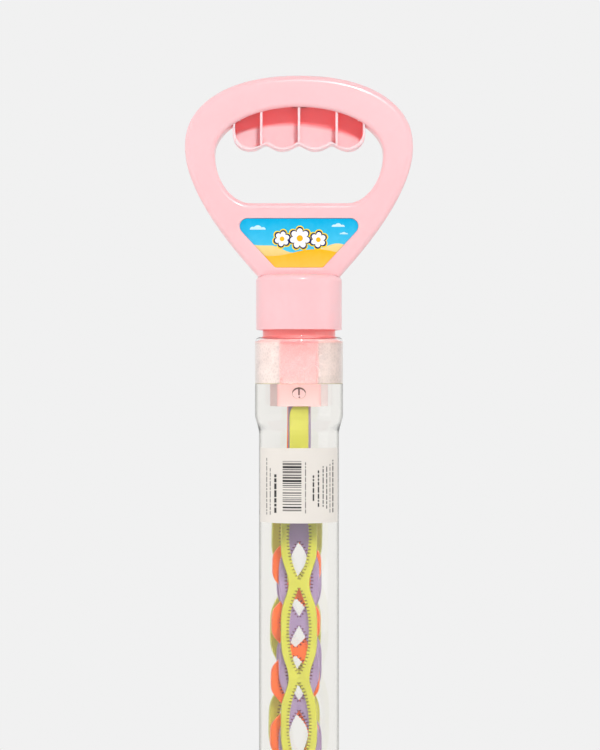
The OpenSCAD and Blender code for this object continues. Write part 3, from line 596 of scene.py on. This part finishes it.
def box_solid(name, x0, x1, y0, y1, z0, z1):
    return prism(name, [(x0, z0), (x1, z0), (x1, z1), (x0, z1)], y0, y1)


def make_shells():
    front = shell("handle_shell_front", 1, 1.2)
    back = shell("handle_shell_back", -1, 0)
    slot, inner = TRIGGER_HALF + 0.3, TRIGGER_Y + 0.15
    cut(front, box_solid("c1", -slot, slot, -inner, 1, TRIGGER_LOW, TRIGGER_TOP + 1.5))
    cutters = [rod(f"c{i}", x, z, SCREW_R, SCREW_SEAT, HALF_D + 1) for i, (x, z) in enumerate(SCREWS)]
    cut(back, box_solid("c5", -slot, slot, -1, inner, TRIGGER_LOW, TRIGGER_TOP + 1.5), *cutters)
    give(front, pink, "handle", "pink_shell", "handle_front")
    give(back, pink, "handle", "pink_shell", "handle_back")


# Trigger
def finger_z(x):
    """Lower edge of the trigger: round at both ends, four shallow finger hollows between."""
    u = (x + TRIGGER_HALF) / FINGER_W
    g = abs(2 * (u - math.floor(u)) - 1)
    if abs(x) > TRIGGER_HALF - FINGER_W / 2:
        return TRIGGER_LOW + END_RISE * (1 - math.sqrt(max(0, 1 - g * g)))
    return TRIGGER_LOW + HOLLOW_RISE * (4 * g ** 2 - g ** 8) / 3


def arch_z(share):
    """Upper edge of the trigger, at a share of its half width."""
    return TRIGGER_TOP - TRIGGER_ARCH * share ** 2


def trigger_line(wall, steps=40):
    s = 1 - wall / TRIGGER_HALF
    low = []
    for f in range(FINGERS):
        for i in range(steps):
            x = -TRIGGER_HALF + FINGER_W * (f + (1 - math.cos(math.pi * i / steps)) / 2)
            low.append((x * s, finger_z(x) + wall))
    low.append((TRIGGER_HALF * s, finger_z(TRIGGER_HALF) + wall))
    return low + [(TRIGGER_HALF * (1 - 2 * i / 24) * s, arch_z(1 - 2 * i / 24) - wall) for i in range(25)]


def make_trigger():
    edge, back, front = 0.45, [], []
    for i in range(5):
        a = math.radians(90 * i / 4)
        back.append([(x, TRIGGER_Y - edge * (1 - math.sin(a)), z)
                     for x, z in trigger_line(edge * (1 - math.cos(a)))])
        front.append([(x, -TRIGGER_Y + edge * (1 - math.sin(a)), z)
                      for x, z in trigger_line(edge * (1 - math.cos(a)))])
    rim_in = [[(x, -TRIGGER_Y, z) for x, z in trigger_line(RIM_WALL)],
              [(x, -TRIGGER_Y + 0.2, z) for x, z in trigger_line(GRIP_WALL)],
              [(x, TRIGGER_Y - GRIP_BACK, z) for x, z in trigger_line(GRIP_WALL)]]
    body = loft("trigger_grip", back[::-1] + front + rim_in, False)
    ribs = []
    for i, x in enumerate((-RIB_X, 0, RIB_X)):
        rib = box_solid(f"rib{i}", x - RIB_HALF, x + RIB_HALF, -TRIGGER_Y + 0.1, TRIGGER_Y - 0.75,
                        finger_z(x) + 0.6, arch_z(x / TRIGGER_HALF) - 0.6)
        ribs.append(cut(bevel(rib, 0.25)))
    cut(body, *ribs, operation="UNION")
    cut(body, box_solid("boss", -BOSS_HALF, BOSS_HALF, -TRIGGER_Y - 1, TRIGGER_Y + 1, BOSS_LOW, BOSS_TOP))
    give(body, trigger_pink, "trigger", "pink_shell", "finger_trigger")


# Cap and tube
def lug_at(turn, edge=1.5):
    """1 on a thread start, 0 between, eased over its ends."""
    best = 0
    for i in range(LUGS):
        d = abs((turn - 360 * i / LUGS + 180) % 360 - 180)
        best = max(best, min(1, max(0, (LUG_ANGLE / 2 - d) / edge)))
    return best


def make_cap():
    def reach(r, turn):
        if r == CAP_LUG_R:
            return CAP_BORE - (CAP_BORE - CAP_LUG_R) * lug_at(turn)
        return r

    prof = ([(CAP_BORE + 0.3, CAP_BASE), (CAP_R - 0.35, CAP_BASE), (CAP_R - 0.1, CAP_BASE + 0.1),
             (CAP_R, CAP_BASE + 0.35)]
            + arc(CAP_R - CAP_ROUND, CAP_TOP - CAP_ROUND, CAP_ROUND, 0, 90, 20)
            + [(CAP_R - CAP_ROUND - 0.3, CAP_TOP), (WAIST, CAP_TOP), (WAIST, CAP_UNDER),
               (CAP_BORE, CAP_UNDER), (CAP_BORE, CAP_LUG_TOP), (CAP_LUG_R, CAP_LUG_TOP - 0.01),
               (CAP_LUG_R, CAP_LUG_TOP - LUG_H + 0.01), (CAP_BORE, CAP_LUG_TOP - LUG_H),
               (CAP_BORE, CAP_BASE + 0.3)])
    give(lathe("cap_skirt", prof, radius=reach), pink, "handle", "pink_shell", "screw_cap")


def make_tube():
    lug_r = NECK_R + LUG_DEPTH

    def reach(r, turn):
        if r == lug_r:
            return NECK_R + LUG_DEPTH * lug_at(turn)
        return r

    inner = TUBE_ROUND - WALL
    outer = ([(0.0, 0.6), (12, 0.5), (TUBE_R - TUBE_ROUND - 1, 0)]
             + arc(TUBE_R - TUBE_ROUND, TUBE_ROUND, TUBE_ROUND, -90, 0, 10)
             + eased(TUBE_R, TAPER_LOW, UPPER_R, TAPER_TOP, 16)
             + arc(UPPER_R - TUBE_ROUND, SHOULDER - TUBE_ROUND, TUBE_ROUND, 0, 90, 12)
             + [(NECK_R + 0.5, SHOULDER), (NECK_R + 0.15, SHOULDER + 0.15), (NECK_R, SHOULDER + 0.5),
                (NECK_R, LUG_TOP - LUG_H), (lug_r, LUG_TOP - LUG_H + 0.01),
                (lug_r, LUG_TOP - 0.01), (NECK_R, LUG_TOP), (NECK_R, NECK_TOP - 0.3),
                (NECK_R - 0.3, NECK_TOP)])
    r_in = NECK_R - NECK_WALL
    back = ([(r_in + 0.3, NECK_TOP), (r_in, NECK_TOP - 0.3), (r_in, SHOULDER - WALL)]
            + arc(UPPER_R - WALL - inner, SHOULDER - WALL - inner, inner, 90, 0, 8)
            + eased(TUBE_R - WALL, TAPER_LOW, UPPER_R - WALL, TAPER_TOP, 16)[::-1]
            + arc(TUBE_R - WALL - inner, FLOOR + inner, inner, 0, -90, 8) + [(0.0, FLOOR)])
    give(lathe("tube_wall", outer + back, 256, radius=reach), tube_clear, "tube", "clear_tube",
         "bubble_tube")


def eased(r0, z0, r1, z1, steps):
    """Taper from one radius to another, rounded into the straight walls at both ends."""
    pts = [(r0, z0 - 1.2)]
    for i in range(steps + 1):
        t = i / steps
        s = t * t * (3 - 2 * t)
        pts.append((r0 + (r1 - r0) * (0.55 * s + 0.45 * t), z0 + (z1 - z0) * t))
    return pts + [(r1, z1 + 1.2)]


def make_liquid():
    """Liquid that reaches OVERLAP into the wall, so that no air shows between them."""
    grow = OVERLAP
    inner = TUBE_ROUND - WALL
    r_top = UPPER_R - WALL + grow
    side = ([(0.0, FLOOR - grow)]
            + arc(TUBE_R - WALL - inner, FLOOR + inner, inner + grow, -90, 0, 8)
            + [(r + grow, z) for r, z in eased(TUBE_R - WALL, TAPER_LOW, UPPER_R - WALL, TAPER_TOP, 16)]
            + [(r_top, LIQUID_TOP + 0.25), (r_top - 0.3, LIQUID_TOP + 0.05),
               (r_top - 0.8, LIQUID_TOP), (0.0, LIQUID_TOP)])
    give(lathe("bubble_fill", side, 256), liquid_clear, "tube")


FROTH_SHOULDER, FROTH_TOP, FROTH_WALL_T, FROTH_NECK_T = 327.6, 342, 0.9, 0.7


def make_froth():
    """Froth above the liquid, on the wall, under the shoulder and up into the neck."""
    wall, neck = UPPER_R - WALL + OVERLAP, NECK_R - NECK_WALL + OVERLAP
    line = [(wall, LIQUID_TOP + 0.1), (wall, FROTH_SHOULDER), (wall - 0.4, 328.4), (wall - 1.2, 328.7),
            (neck + 0.2, 328.75), (neck, 329), (neck, FROTH_TOP), (neck - FROTH_NECK_T, FROTH_TOP),
            (neck - FROTH_NECK_T, 328.2), (wall - 1.5, FROTH_SHOULDER), (wall - FROTH_WALL_T, 326.9),
            (wall - FROTH_WALL_T, LIQUID_TOP + 0.1)]
    give(lathe("froth_ring", line, 256), froth, "tube").visible_shadow = False


# Label and badge
def wrap(u, r):
    """Point on the tube's front at a distance u along the surface."""
    a = u / TUBE_R
    return r * math.sin(a), -r * math.cos(a)


def sheet_patch(name, u0, u1, z0, z1, r_in, r_out, steps=64):
    """Curved plate on the tube's front."""
    lay = []
    for r, z in ((r_in, z0), (r_out, z0), (r_out, z1), (r_in, z1)):
        lay.append([(*wrap(u0 + (u1 - u0) * i / steps, r), z) for i in range(steps + 1)])
    n = steps + 1
    verts = [p for ring in lay for p in ring]
    faces = []
    for j in range(4):
        for i in range(steps):
            faces.append((j * n + i, j * n + i + 1, ((j + 1) % 4) * n + i + 1, ((j + 1) % 4) * n + i))
    faces.append((0, n, 2 * n, 3 * n))
    faces.append((steps, n + steps, 2 * n + steps, 3 * n + steps))
    return new_object(name, verts, faces)


LABEL_HALF_W, LABEL_LOW, LABEL_TOP, BARS_LEFT, BARS_RIGHT, BARS_LOW, BARS_TOP = (
    25, 238, 275, -8.2, 1.2, 244, 269)


def make_label():
    """Label with plain stripes and runs of random size, which spell and encode nothing."""
    give(sheet_patch("label_sheet", -LABEL_HALF_W, LABEL_HALF_W, LABEL_LOW, LABEL_TOP, TUBE_R + 0.02,
                     TUBE_R + 0.2), paper, "tube", "label_paper", "tube_label")
    rng = random.Random(11)
    dark, pale = [], []
    z = BARS_LOW
    while z < BARS_TOP - 0.4:
        h = rng.choice((0.3, 0.45, 0.45, 0.8, 1.1))
        (dark if rng.random() < 0.6 else pale).append((BARS_LEFT, BARS_RIGHT, z, min(z + h, BARS_TOP)))
        z += h + rng.choice((0.45, 0.6, 0.9))
    # Upright runs of print: place round the tube, lower end, upper end, thickness, tone
    columns = ((-18.2, 242, 270, 0.75, pale), (-15.6, 242, 265, 0.6, pale),
               (-12.3, 243, 262, 1.35, dark), (3.2, 243, 268, 0.5, pale), (7.2, 249, 262, 0.8, dark),
               (9.9, 246, 264, 0.8, dark), (12.6, 246, 266, 0.6, dark), (14.9, 245, 266, 0.6, dark),
               (17.2, 243, 267, 0.6, pale), (19.6, 243, 269, 0.85, dark))
    for u, z0, z1, t, tone in columns:
        z = z0
        while z < z1:
            run = rng.uniform(0.9, 3.4)
            tone.append((u - t / 2, u + t / 2, z, min(z + run, z1)))
            z += run + 0.55
    for name, parts, mat in (("label_rules", dark, ink), ("label_rules_pale", pale, ink_pale)):
        marks = [sheet_patch(f"{name}{i}", u0, u1, z0, z1, TUBE_R + 0.19, TUBE_R + 0.22,
                             max(1, int((u1 - u0) * 2)))
                 for i, (u0, u1, z0, z1) in enumerate(parts)]
        give(join(name, marks), mat, "tube", "label_paper")


CARD_Y, CARD_BACK_Y, CARD_FIT = -7.8, -7.3, 0.1


def card_side(z):
    """Half width of the badge card at a height."""
    side = [p for p in badge_line(-CARD_FIT) if p[0] > 0]
    for (x0, z0), (x1, z1) in zip(side, side[1:]):
        if z0 <= z <= z1 and z1 > z0:
            return x0 + (x1 - x0) * (z - z0) / (z1 - z0)
    return side[-1][0]


def under_wave(wave, steps=48):
    """Outline of the part of the card under a wavy line, given as height over x."""
    ends = []
    for side in (1, -1):
        x = 20.0 * side
        for _ in range(30):
            x = side * card_side(wave(x))
        ends.append(x)
    right, left = ends
    foot = badge_line(-CARD_FIT)
    return ([p for p in foot if p[0] > 0 and p[1] < wave(right) - 0.05]
            + [(right + (left - right) * i / steps, wave(right + (left - right) * i / steps))
               for i in range(steps + 1)]
            + [p for p in foot if p[0] < 0 and p[1] < wave(left) - 0.05])


def flower_line(x, z, r, petals, turn, grow=0.0):
    """Outline of a round-petalled flower."""
    pts = []
    for i in range(petals * 16):
        a = 2 * math.pi * i / (petals * 16)
        reach = r * (0.68 + 0.32 * abs(math.cos(petals * a / 2)) ** 0.7) + grow
        pts.append((x + reach * math.sin(a + turn), z + reach * math.cos(a + turn)))
    return pts


def cloud_line(x, z, r):
    """Outline of a small cloud: a flat foot and three round humps."""
    humps = ((-1.1, 0.62), (0, 0.95), (1.15, 0.55))
    half = 1.1 + 0.62
    top = []
    for i in range(49):
        u = half - 2 * half * i / 48
        top.append((x + u * r, z + r * max(math.sqrt(max(0, h * h - (u - c) ** 2))
                                           for c, h in humps)))
    return [(a, max(b, z + 0.02)) for a, b in top]


def make_badge():
    card = plate("badge_card", [badge_line(-CARD_FIT)], CARD_Y, CARD_BACK_Y, 0.08)
    give(card, sky, "handle", "badge_print", "handle_badge")
    # Flowers: x, z, radius, petals, turn
    blooms = ((-8.4, 378.6, 3.9, 6, 0.2), (9.6, 378.2, 4.0, 6, 0.1), (0.4, 378.9, 5.2, 7, 0.0))
    # Printed layers: name, ink, level above the card, outlines
    layers = [
        ("badge_clouds", cloud_ink, 1, [cloud_line(-20.5, 383.2, 2.3), cloud_line(19.5, 384.6, 1.9),
                                        cloud_line(22.3, 380.9, 1.2)]),
        ("badge_hill_far", sand_pale, 1,
         [under_wave(lambda x: 374.0 + 1.9 * math.sin(x * 0.16 - 1.5) + 0.5 * math.sin(x * 0.41))]),
        ("badge_hill_near", sand, 2,
         [under_wave(lambda x: 371.8 + 1.7 * math.sin(x * 0.14 + 0.4))]),
        ("badge_halo", yellow, 3, [flower_line(*b, 1.15) for b in blooms]),
        ("badge_outline", navy, 4, [flower_line(*b, 0.55) for b in blooms]),
        ("badge_petals", petal, 5, [flower_line(*b, -0.25) for b in blooms]),
        ("badge_hearts", sand, 6, [circle(x, z, r * 0.3, 24) for x, z, r, *_ in blooms]),
    ]
    for name, mat, level, lines in layers:
        parts = [plate(f"{name}{i}", [line], CARD_Y - 0.035 * level - 0.003 * i, CARD_Y + 0.02, 0.01)
                 for i, line in enumerate(lines)]
        give(join(name, parts), mat, "handle", "badge_print")


# Strips
PIVOT_Z, PIVOT_R = 302.0, 2.8
LOOP_NECK, LOOP_WEB, STRIP_T, STRIP_PITCH = 8.5, 3.4, 2.0, 3.0
LOOP_FULL, HOLE_FULL, TOOTH, TOOTH_DEPTH = 2.3, 0.6, 1.7, 1.25
ARM, ARM_R, BLOCK_HALF, FAN, STEM_FOOT = 19.0, 3, 8.1, 1.9, -6.2
SLOT_R, SLOT_LOW, HUB_R, HUB_REACH = 1.65, 12, 4.75, 1.4
BACK_LEAN = 0.55
# What the keys say: place in the stack from the middle, gap over the tube's floor, start of the
# loops below the pivot, w and rim of a loop, width of the stem, and in degrees the lean at rest and
# the swing when squeezed
LIME = dict(mat=lime, slot="lime", loops=5, gap=16.6, start=47.5, rim=2.2, stem=7.8)
PURPLE = dict(mat=purple, slot="purple", loops=5, gap=17.6, start=71.5, w=16.0, rim=2.2, stem=8.4, lean=0)
STRIPS = {
    "lime_strip_front": dict(LIME, body="lime_front", place=-2, w=15.0, lean=0, swing=FAN),
    "purple_strip_front": dict(PURPLE, body="purple_front", place=-1, swing=FAN / 2),
    "orange_strip": dict(body="handle", mat=orange, slot="orange", place=0, loops=7, gap=28.2,
                         start=71.8, w=18.4, rim=2.7, stem=8.4, lean=0.6, swing=0),
    "purple_strip_back": dict(PURPLE, body="purple_back", place=1, swing=-FAN / 2),
    "lime_strip_back": dict(LIME, body="lime_back", place=2, w=17.0, lean=BACK_LEAN,
                            swing=-FAN - BACK_LEAN),
}


def loop_half(w, t):
    return LOOP_NECK / 2 + (w - LOOP_NECK) / 2 * (1 - ((1 + math.cos(2 * math.pi * t)) / 2)
                                                  ** LOOP_FULL)


def strip_side(kind, pitch, shoulder):
    """Right edge of a strip, from the top of its arm or block to the end of its loops."""
    half = kind["stem"] / 2
    disc = PIVOT_R + 2.5
    if kind["swing"]:
        turn = math.degrees(math.acos(half / disc))
        pts = arc(0, ARM, ARM_R, 90, 0, 10) + [(half, ARM)] + arc(0, 0, disc, turn, -turn, 12)
    else:
        pts = arc(0, 0, disc, 90, 0, 10) + [(BLOCK_HALF, 0), (BLOCK_HALF, -half), (half, -half)]
    if shoulder:
        wide, tall = half * 2 / 3, half * 3 / 2
        pts += [(half, STEM_FOOT)]
        pts += [(half - wide + wide * math.sin(math.radians(a)),
                 STEM_FOOT - tall + tall * math.cos(math.radians(a))) for a in range(0, 91, 9)]
    pts += [(half, 1.5 - kind["start"])]
    steps = 36
    for k in range(kind["loops"]):
        pts += [(loop_half(kind["w"], i / steps), -kind["start"] - (k + i / steps) * pitch)
                for i in range(steps)]
    end = -kind["start"] - kind["loops"] * pitch
    pts += [(LOOP_NECK / 2 * math.cos(math.radians(a)), end - LOOP_WEB / 2 * math.sin(math.radians(a)))
            for a in range(0, 90, 10)]
    return pts + [(0, end - LOOP_WEB / 2)]


def hole_ring(top, pitch, half):
    """Outline of a loop's hole through the roots of its teeth: a pointed oval with blunt ends."""
    tall, n = pitch - LOOP_WEB, 200
    side = []
    for i in range(n + 1):
        t = (1 - math.cos(math.pi * i / n)) / 2
        side.append((half * max(0, math.sin(math.pi * t)) ** HOLE_FULL, top - LOOP_WEB / 2 - t * tall))
    return side[:-1] + [(-x, z) for x, z in side[::-1]][:-1]


def tooth_reach(x):
    """Length of the teeth, less towards the ends of a hole."""
    return TOOTH_DEPTH * min(1, 0.45 + abs(x) / 4)


def toothed_hole(ring):
    """Hole of one loop, toothed all the way round."""
    run = [0.0]
    for a, b in zip(ring, ring[1:] + ring[:1]):
        run.append(run[-1] + math.dist(a, b))
    teeth = 2 * round(run[-1] / TOOTH / 2)
    step = run[-1] / teeth
    pts = []
    marks = [(k + share) * step for k in range(teeth) for share in (-0.34, -0.26, 0.26, 0.34)]
    for k, at in enumerate(marks):
        at = at % run[-1]
        j = next(i for i in range(len(ring)) if run[i] <= at <= run[i + 1])
        a, b = ring[j], ring[(j + 1) % len(ring)]
        share = (at - run[j]) / max(run[j + 1] - run[j], 1e-9)
        x, z = a[0] + (b[0] - a[0]) * share, a[1] + (b[1] - a[1]) * share
        size = math.dist(a, b)
        nx, nz = (b[1] - a[1]) / size, -(b[0] - a[0]) / size
        reach = tooth_reach(x) if k % 4 in (1, 2) else 0
        pts.append((x + nx * reach, z + nz * reach))
    return pts


def groove_shade_floor(ring):
    """Outlines of the thin floor that closes the gaps between the teeth. It is a dark sheet that paints
    the shade in the gaps.
    """
    ring = clockwise(ring)[::4]
    inner = [grown(ring, 0.2 - tooth_reach(x))[i] for i, (x, z) in enumerate(ring)]
    return [grown(ring, 0.1), inner]


def make_strip(name, kind):
    pitch = (PIVOT_Z - FLOOR - kind["gap"] - kind["start"] - LOOP_WEB / 2) / kind["loops"]
    shoulder = 0 if abs(kind["swing"]) < FAN else (-1 if kind["swing"] > 0 else 1)
    right = strip_side(kind, pitch, shoulder == 1)
    left = [(-x, z) for x, z in strip_side(kind, pitch, shoulder == -1)[::-1]]
    lines = [right + left[1:-1], circle(0, 0, PIVOT_R + 0.1)]
    rings = [hole_ring(-kind["start"] - k * pitch, pitch, kind["w"] / 2 - kind["rim"])
             for k in range(kind["loops"])]
    lines += [toothed_hole(ring) for ring in rings]
    if kind["swing"]:
        a, b = math.radians(kind["lean"]), math.radians(kind["lean"] + kind["swing"])
        lines.append(arc(-SLOT_LOW * math.sin(a), SLOT_LOW * math.cos(a), SLOT_R, 0, -180, 12)
                     + arc(-ARM * math.sin(b), ARM * math.cos(b), SLOT_R, 180, 0, 12))
    lean = math.radians(kind["lean"])

    def placed(pts):
        return [(x * math.cos(lean) + z * math.sin(lean),
                 PIVOT_Z - x * math.sin(lean) + z * math.cos(lean)) for x, z in pts]
    y = kind["place"] * STRIP_PITCH
    half_t = STRIP_T / 2
    parts = [plate(name + "_sheet", [placed(c) for c in lines], y - half_t, y + half_t)]
    # Dark sheets of painted shade in the gaps between the teeth
    groove_shade_sheets = [plate(name + "_floor", [placed(c) for c in groove_shade_floor(ring)], y - half_t + 0.5,
                    y + half_t - 0.5, 0.04) for ring in rings]
    give(join(name.replace("strip", "groove_shades"), groove_shade_sheets), GROOVE_SHADES[kind["slot"]], kind["body"],
         kind["slot"] + "_plastic")
    for y0, y1 in ((y - HUB_REACH, y - half_t + 0.02), (y + half_t - 0.02, y + HUB_REACH)):
        parts.append(plate(name + "_hub", [circle(0, PIVOT_Z, HUB_R), circle(0, PIVOT_Z, PIVOT_R + 0.1)],
                           y0, y1, 0.1))
    for k in range(1, kind["loops"]):
        x, z = placed([(0, -kind["start"] - k * pitch)])[0]
        parts.append(plate(name + "_dot", [circle(x, z, 0.5, 20)], y - half_t - 0.12,
                           y - half_t + 0.05, 0.06))
    give(join(name.replace("strip", "band"), parts), kind["mat"], kind["body"],
         kind["slot"] + "_plastic", name)


PIN_FRONT, PIN_BACK, PIN_CLEAR = -9.7, 9.9, -11


def make_pin():
    """Split snap pin of the pivot: two prongs in front, a domed head at the back."""
    pin = rod("pivot_clip", 0, PIVOT_Z, PIVOT_R, PIN_FRONT, PIN_BACK, 64)
    gap = arc(0, PIVOT_Z, 3.3, 165, 15, 15) + arc(0, PIVOT_Z - 0.62, 2.78, 15, 165, 15)
    cut(pin, prism("c20", clockwise(gap), PIN_CLEAR, -6.4),
        box_solid("c21", -0.36, 0.36, PIN_CLEAR, -6.75, PIVOT_Z - 0.9, PIVOT_Z + 3),
        rod("c22", 0.15, PIVOT_Z - 2.0, 0.38, PIN_CLEAR, -8.2, 24))
    head = lathe_y("pivot_head", [(0.0, 9.8), (4.0, 9.8), (4.2, 9.95), (4.2, 10.3), (3.9, 10.62),
                                  (3.2, 10.74), (0.0, 10.75)], PIVOT_Z)
    give(join("pivot_snap_pin", [pin, head]), pin_pink, "handle", "pink_shell", "pivot_pin")


def lathe_y(name, profile, z, steps=64):
    """Turned solid about an axis along Y. The profile is (r, y) and starts and ends at r = 0."""
    verts, faces = [(0, profile[0][1], z)], []
    for r, y in profile[1:-1]:
        verts += [(x, y, zz) for x, zz in circle(0, z, r, steps)]
    verts.append((0, profile[-1][1], z))
    last, rings = len(verts) - 1, len(profile) - 2
    for i in range(steps):
        k = (i + 1) % steps
        faces.append((0, 1 + i, 1 + k))
        for j in range(rings - 1):
            a, b = 1 + j * steps, 1 + (j + 1) * steps
            faces.append((a + i, a + k, b + k, b + i))
        b = 1 + (rings - 1) * steps
        faces.append((b + i, b + k, last))
    return new_object(name, verts, faces)


# Spring
def make_spring():
    turns, wire, r, around = 9, 0.4, 4.5, 10
    z0, z1 = 330.0 + wire, 353.5 - wire
    pts, n = [], turns * 28
    for i in range(n + 1):
        a = 2 * math.pi * turns * i / n
        pts.append(Vector((r * math.cos(a), r * math.sin(a), z0 + (z1 - z0) * i / n)))
    rings = []
    for i, p in enumerate(pts):
        t = (pts[min(i + 1, n)] - pts[max(i - 1, 0)]).normalized()
        side = Vector((p.x, p.y, 0)).normalized()
        up = t.cross(side)
        turn = [2 * math.pi * k / around for k in range(around)]
        rings.append([tuple(p + wire * (math.cos(a) * side + math.sin(a) * up)) for a in turn])
    coil = loft("spring_coil", rings, False, 60)
    give(coil, steel, "handle", "screw_steel", "return_spring")
    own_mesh(coil)


# Stage
BACKGROUND, DIM_SIDE, SOFT_LEVEL = 0.879, 0.4, 0.42


def seen_directly(tree, path):
    """1 for camera, mirror and glass rays that have met no dull surface yet, else 0."""
    seen = calc(tree, "MAXIMUM", path["Is Camera Ray"], path["Is Glossy Ray"])
    seen = calc(tree, "MAXIMUM", seen, path["Is Transmission Ray"])
    return calc(tree, "MULTIPLY", seen, calc(tree, "LESS_THAN", path["Diffuse Depth"], 0.5))


def make_floor():
    """Pale floor that fades into the background where it is seen directly."""
    mat, tree, bsdf, place, _ = new_material("studio")
    feed(tree, bsdf, {"Base Color": (0.86, 0.86, 0.86, 1), "Roughness": 0.9})
    glow = add(tree, "Emission", {"Color": (BACKGROUND, BACKGROUND, BACKGROUND, 1)})["Emission"]
    far = add(tree, "VectorMath", {0: place}, operation="LENGTH")["Value"]
    share = calc(tree, "MULTIPLY", seen_directly(tree, add(tree, "LightPath")),
                 remap(tree, far, 0.15, 0.6))
    surface(tree, blend_shaders(tree, share, bsdf.outputs["BSDF"], glow))
    size = 6000
    floor = new_object("studio_floor", [(-size, -size, 0), (size, -size, 0), (size, size, 0),
                                        (-size, size, 0)], [(0, 1, 2, 3)])
    floor.data.materials.append(mat)


def make_world():
    """Even background. Mirrored rays find it darker in front, and dull surfaces dimmer all round."""
    world = bpy.data.worlds.new("studio_world")
    bpy.context.scene.world = world
    world.use_nodes = True
    tree = world.node_tree
    path = add(tree, "LightPath")
    xyz = add(tree, "SeparateXYZ", {"Vector": add(tree, "TexCoord")["Generated"]})
    room = remap(tree, xyz["Y"], -0.3, 0.4, BACKGROUND * DIM_SIDE, BACKGROUND,
                 interpolation_type="SMOOTHSTEP")
    seen = add(tree, "Mix", {"Factor": path["Is Reflection Ray"], "A": BACKGROUND, "B": room})["Result"]
    level = add(tree, "Mix", {"Factor": seen_directly(tree, path), "A": SOFT_LEVEL, "B": seen})["Result"]
    feed(tree, tree.nodes["Background"], {"Color": (1, 1, 1, 1), "Strength": level})


def lamp(name, place, target, size, power, tall=None, shine=True):
    data = bpy.data.lights.new(name, "AREA")
    data.shape = "RECTANGLE"
    data.size, data.size_y = size, tall or size
    data.energy = power
    obj = in_scene(name, data)
    obj.location = place
    obj.rotation_euler = (Vector(target) - Vector(place)).to_track_quat("-Z", "Y").to_euler()
    obj.visible_camera = False
    obj.visible_transmission = False
    obj.visible_glossy = shine


def make_light():
    middle = (0, 0, 0.33)
    lamp("key", (0.24, -1.36, 1.2), (0, 0, 0.4), 0.13, 12.9)
    lamp("left_soft", (-1.21, -0.32, 0.5), middle, 1.0, 7.4, 1.4, shine=False)
    lamp("right_soft", (1.3, -0.4, 0.5), middle, 0.9, 3.4, 1.3)
    lamp("back_soft", (0, 1.5, 0.6), middle, 1.6, 11, 1.4, shine=False)


def make_camera():
    data = bpy.data.cameras.new("camera")
    data.sensor_fit = "VERTICAL"
    data.sensor_width = data.sensor_height = 36
    data.lens = 115.2
    data.clip_start, data.clip_end = 0.05, 40
    cam = in_scene("camera", data)
    cam.location = (0.0005, -1.2, 0.311)
    cam.rotation_euler = (math.radians(90), 0, 0)
    bpy.context.scene.camera = cam


make_shells()
make_trigger()
make_cap()
make_tube()
make_liquid()
make_froth()
make_label()
make_badge()
make_spring()
make_pin()
for strip_name, strip_kind in STRIPS.items():
    make_strip(strip_name, strip_kind)
dress(["stem_front", "stem_back"], stem_pink, 0.25)
dress(["trigger_frame", "pull_rod"], white)
dress(["seal_ring"], rubber)
dress(["handle_screws", "drive_pin", "spring_washer"], steel)
make_floor()
make_world()
make_light()
make_camera()
bpy.context.scene.view_settings.view_transform = "Standard"
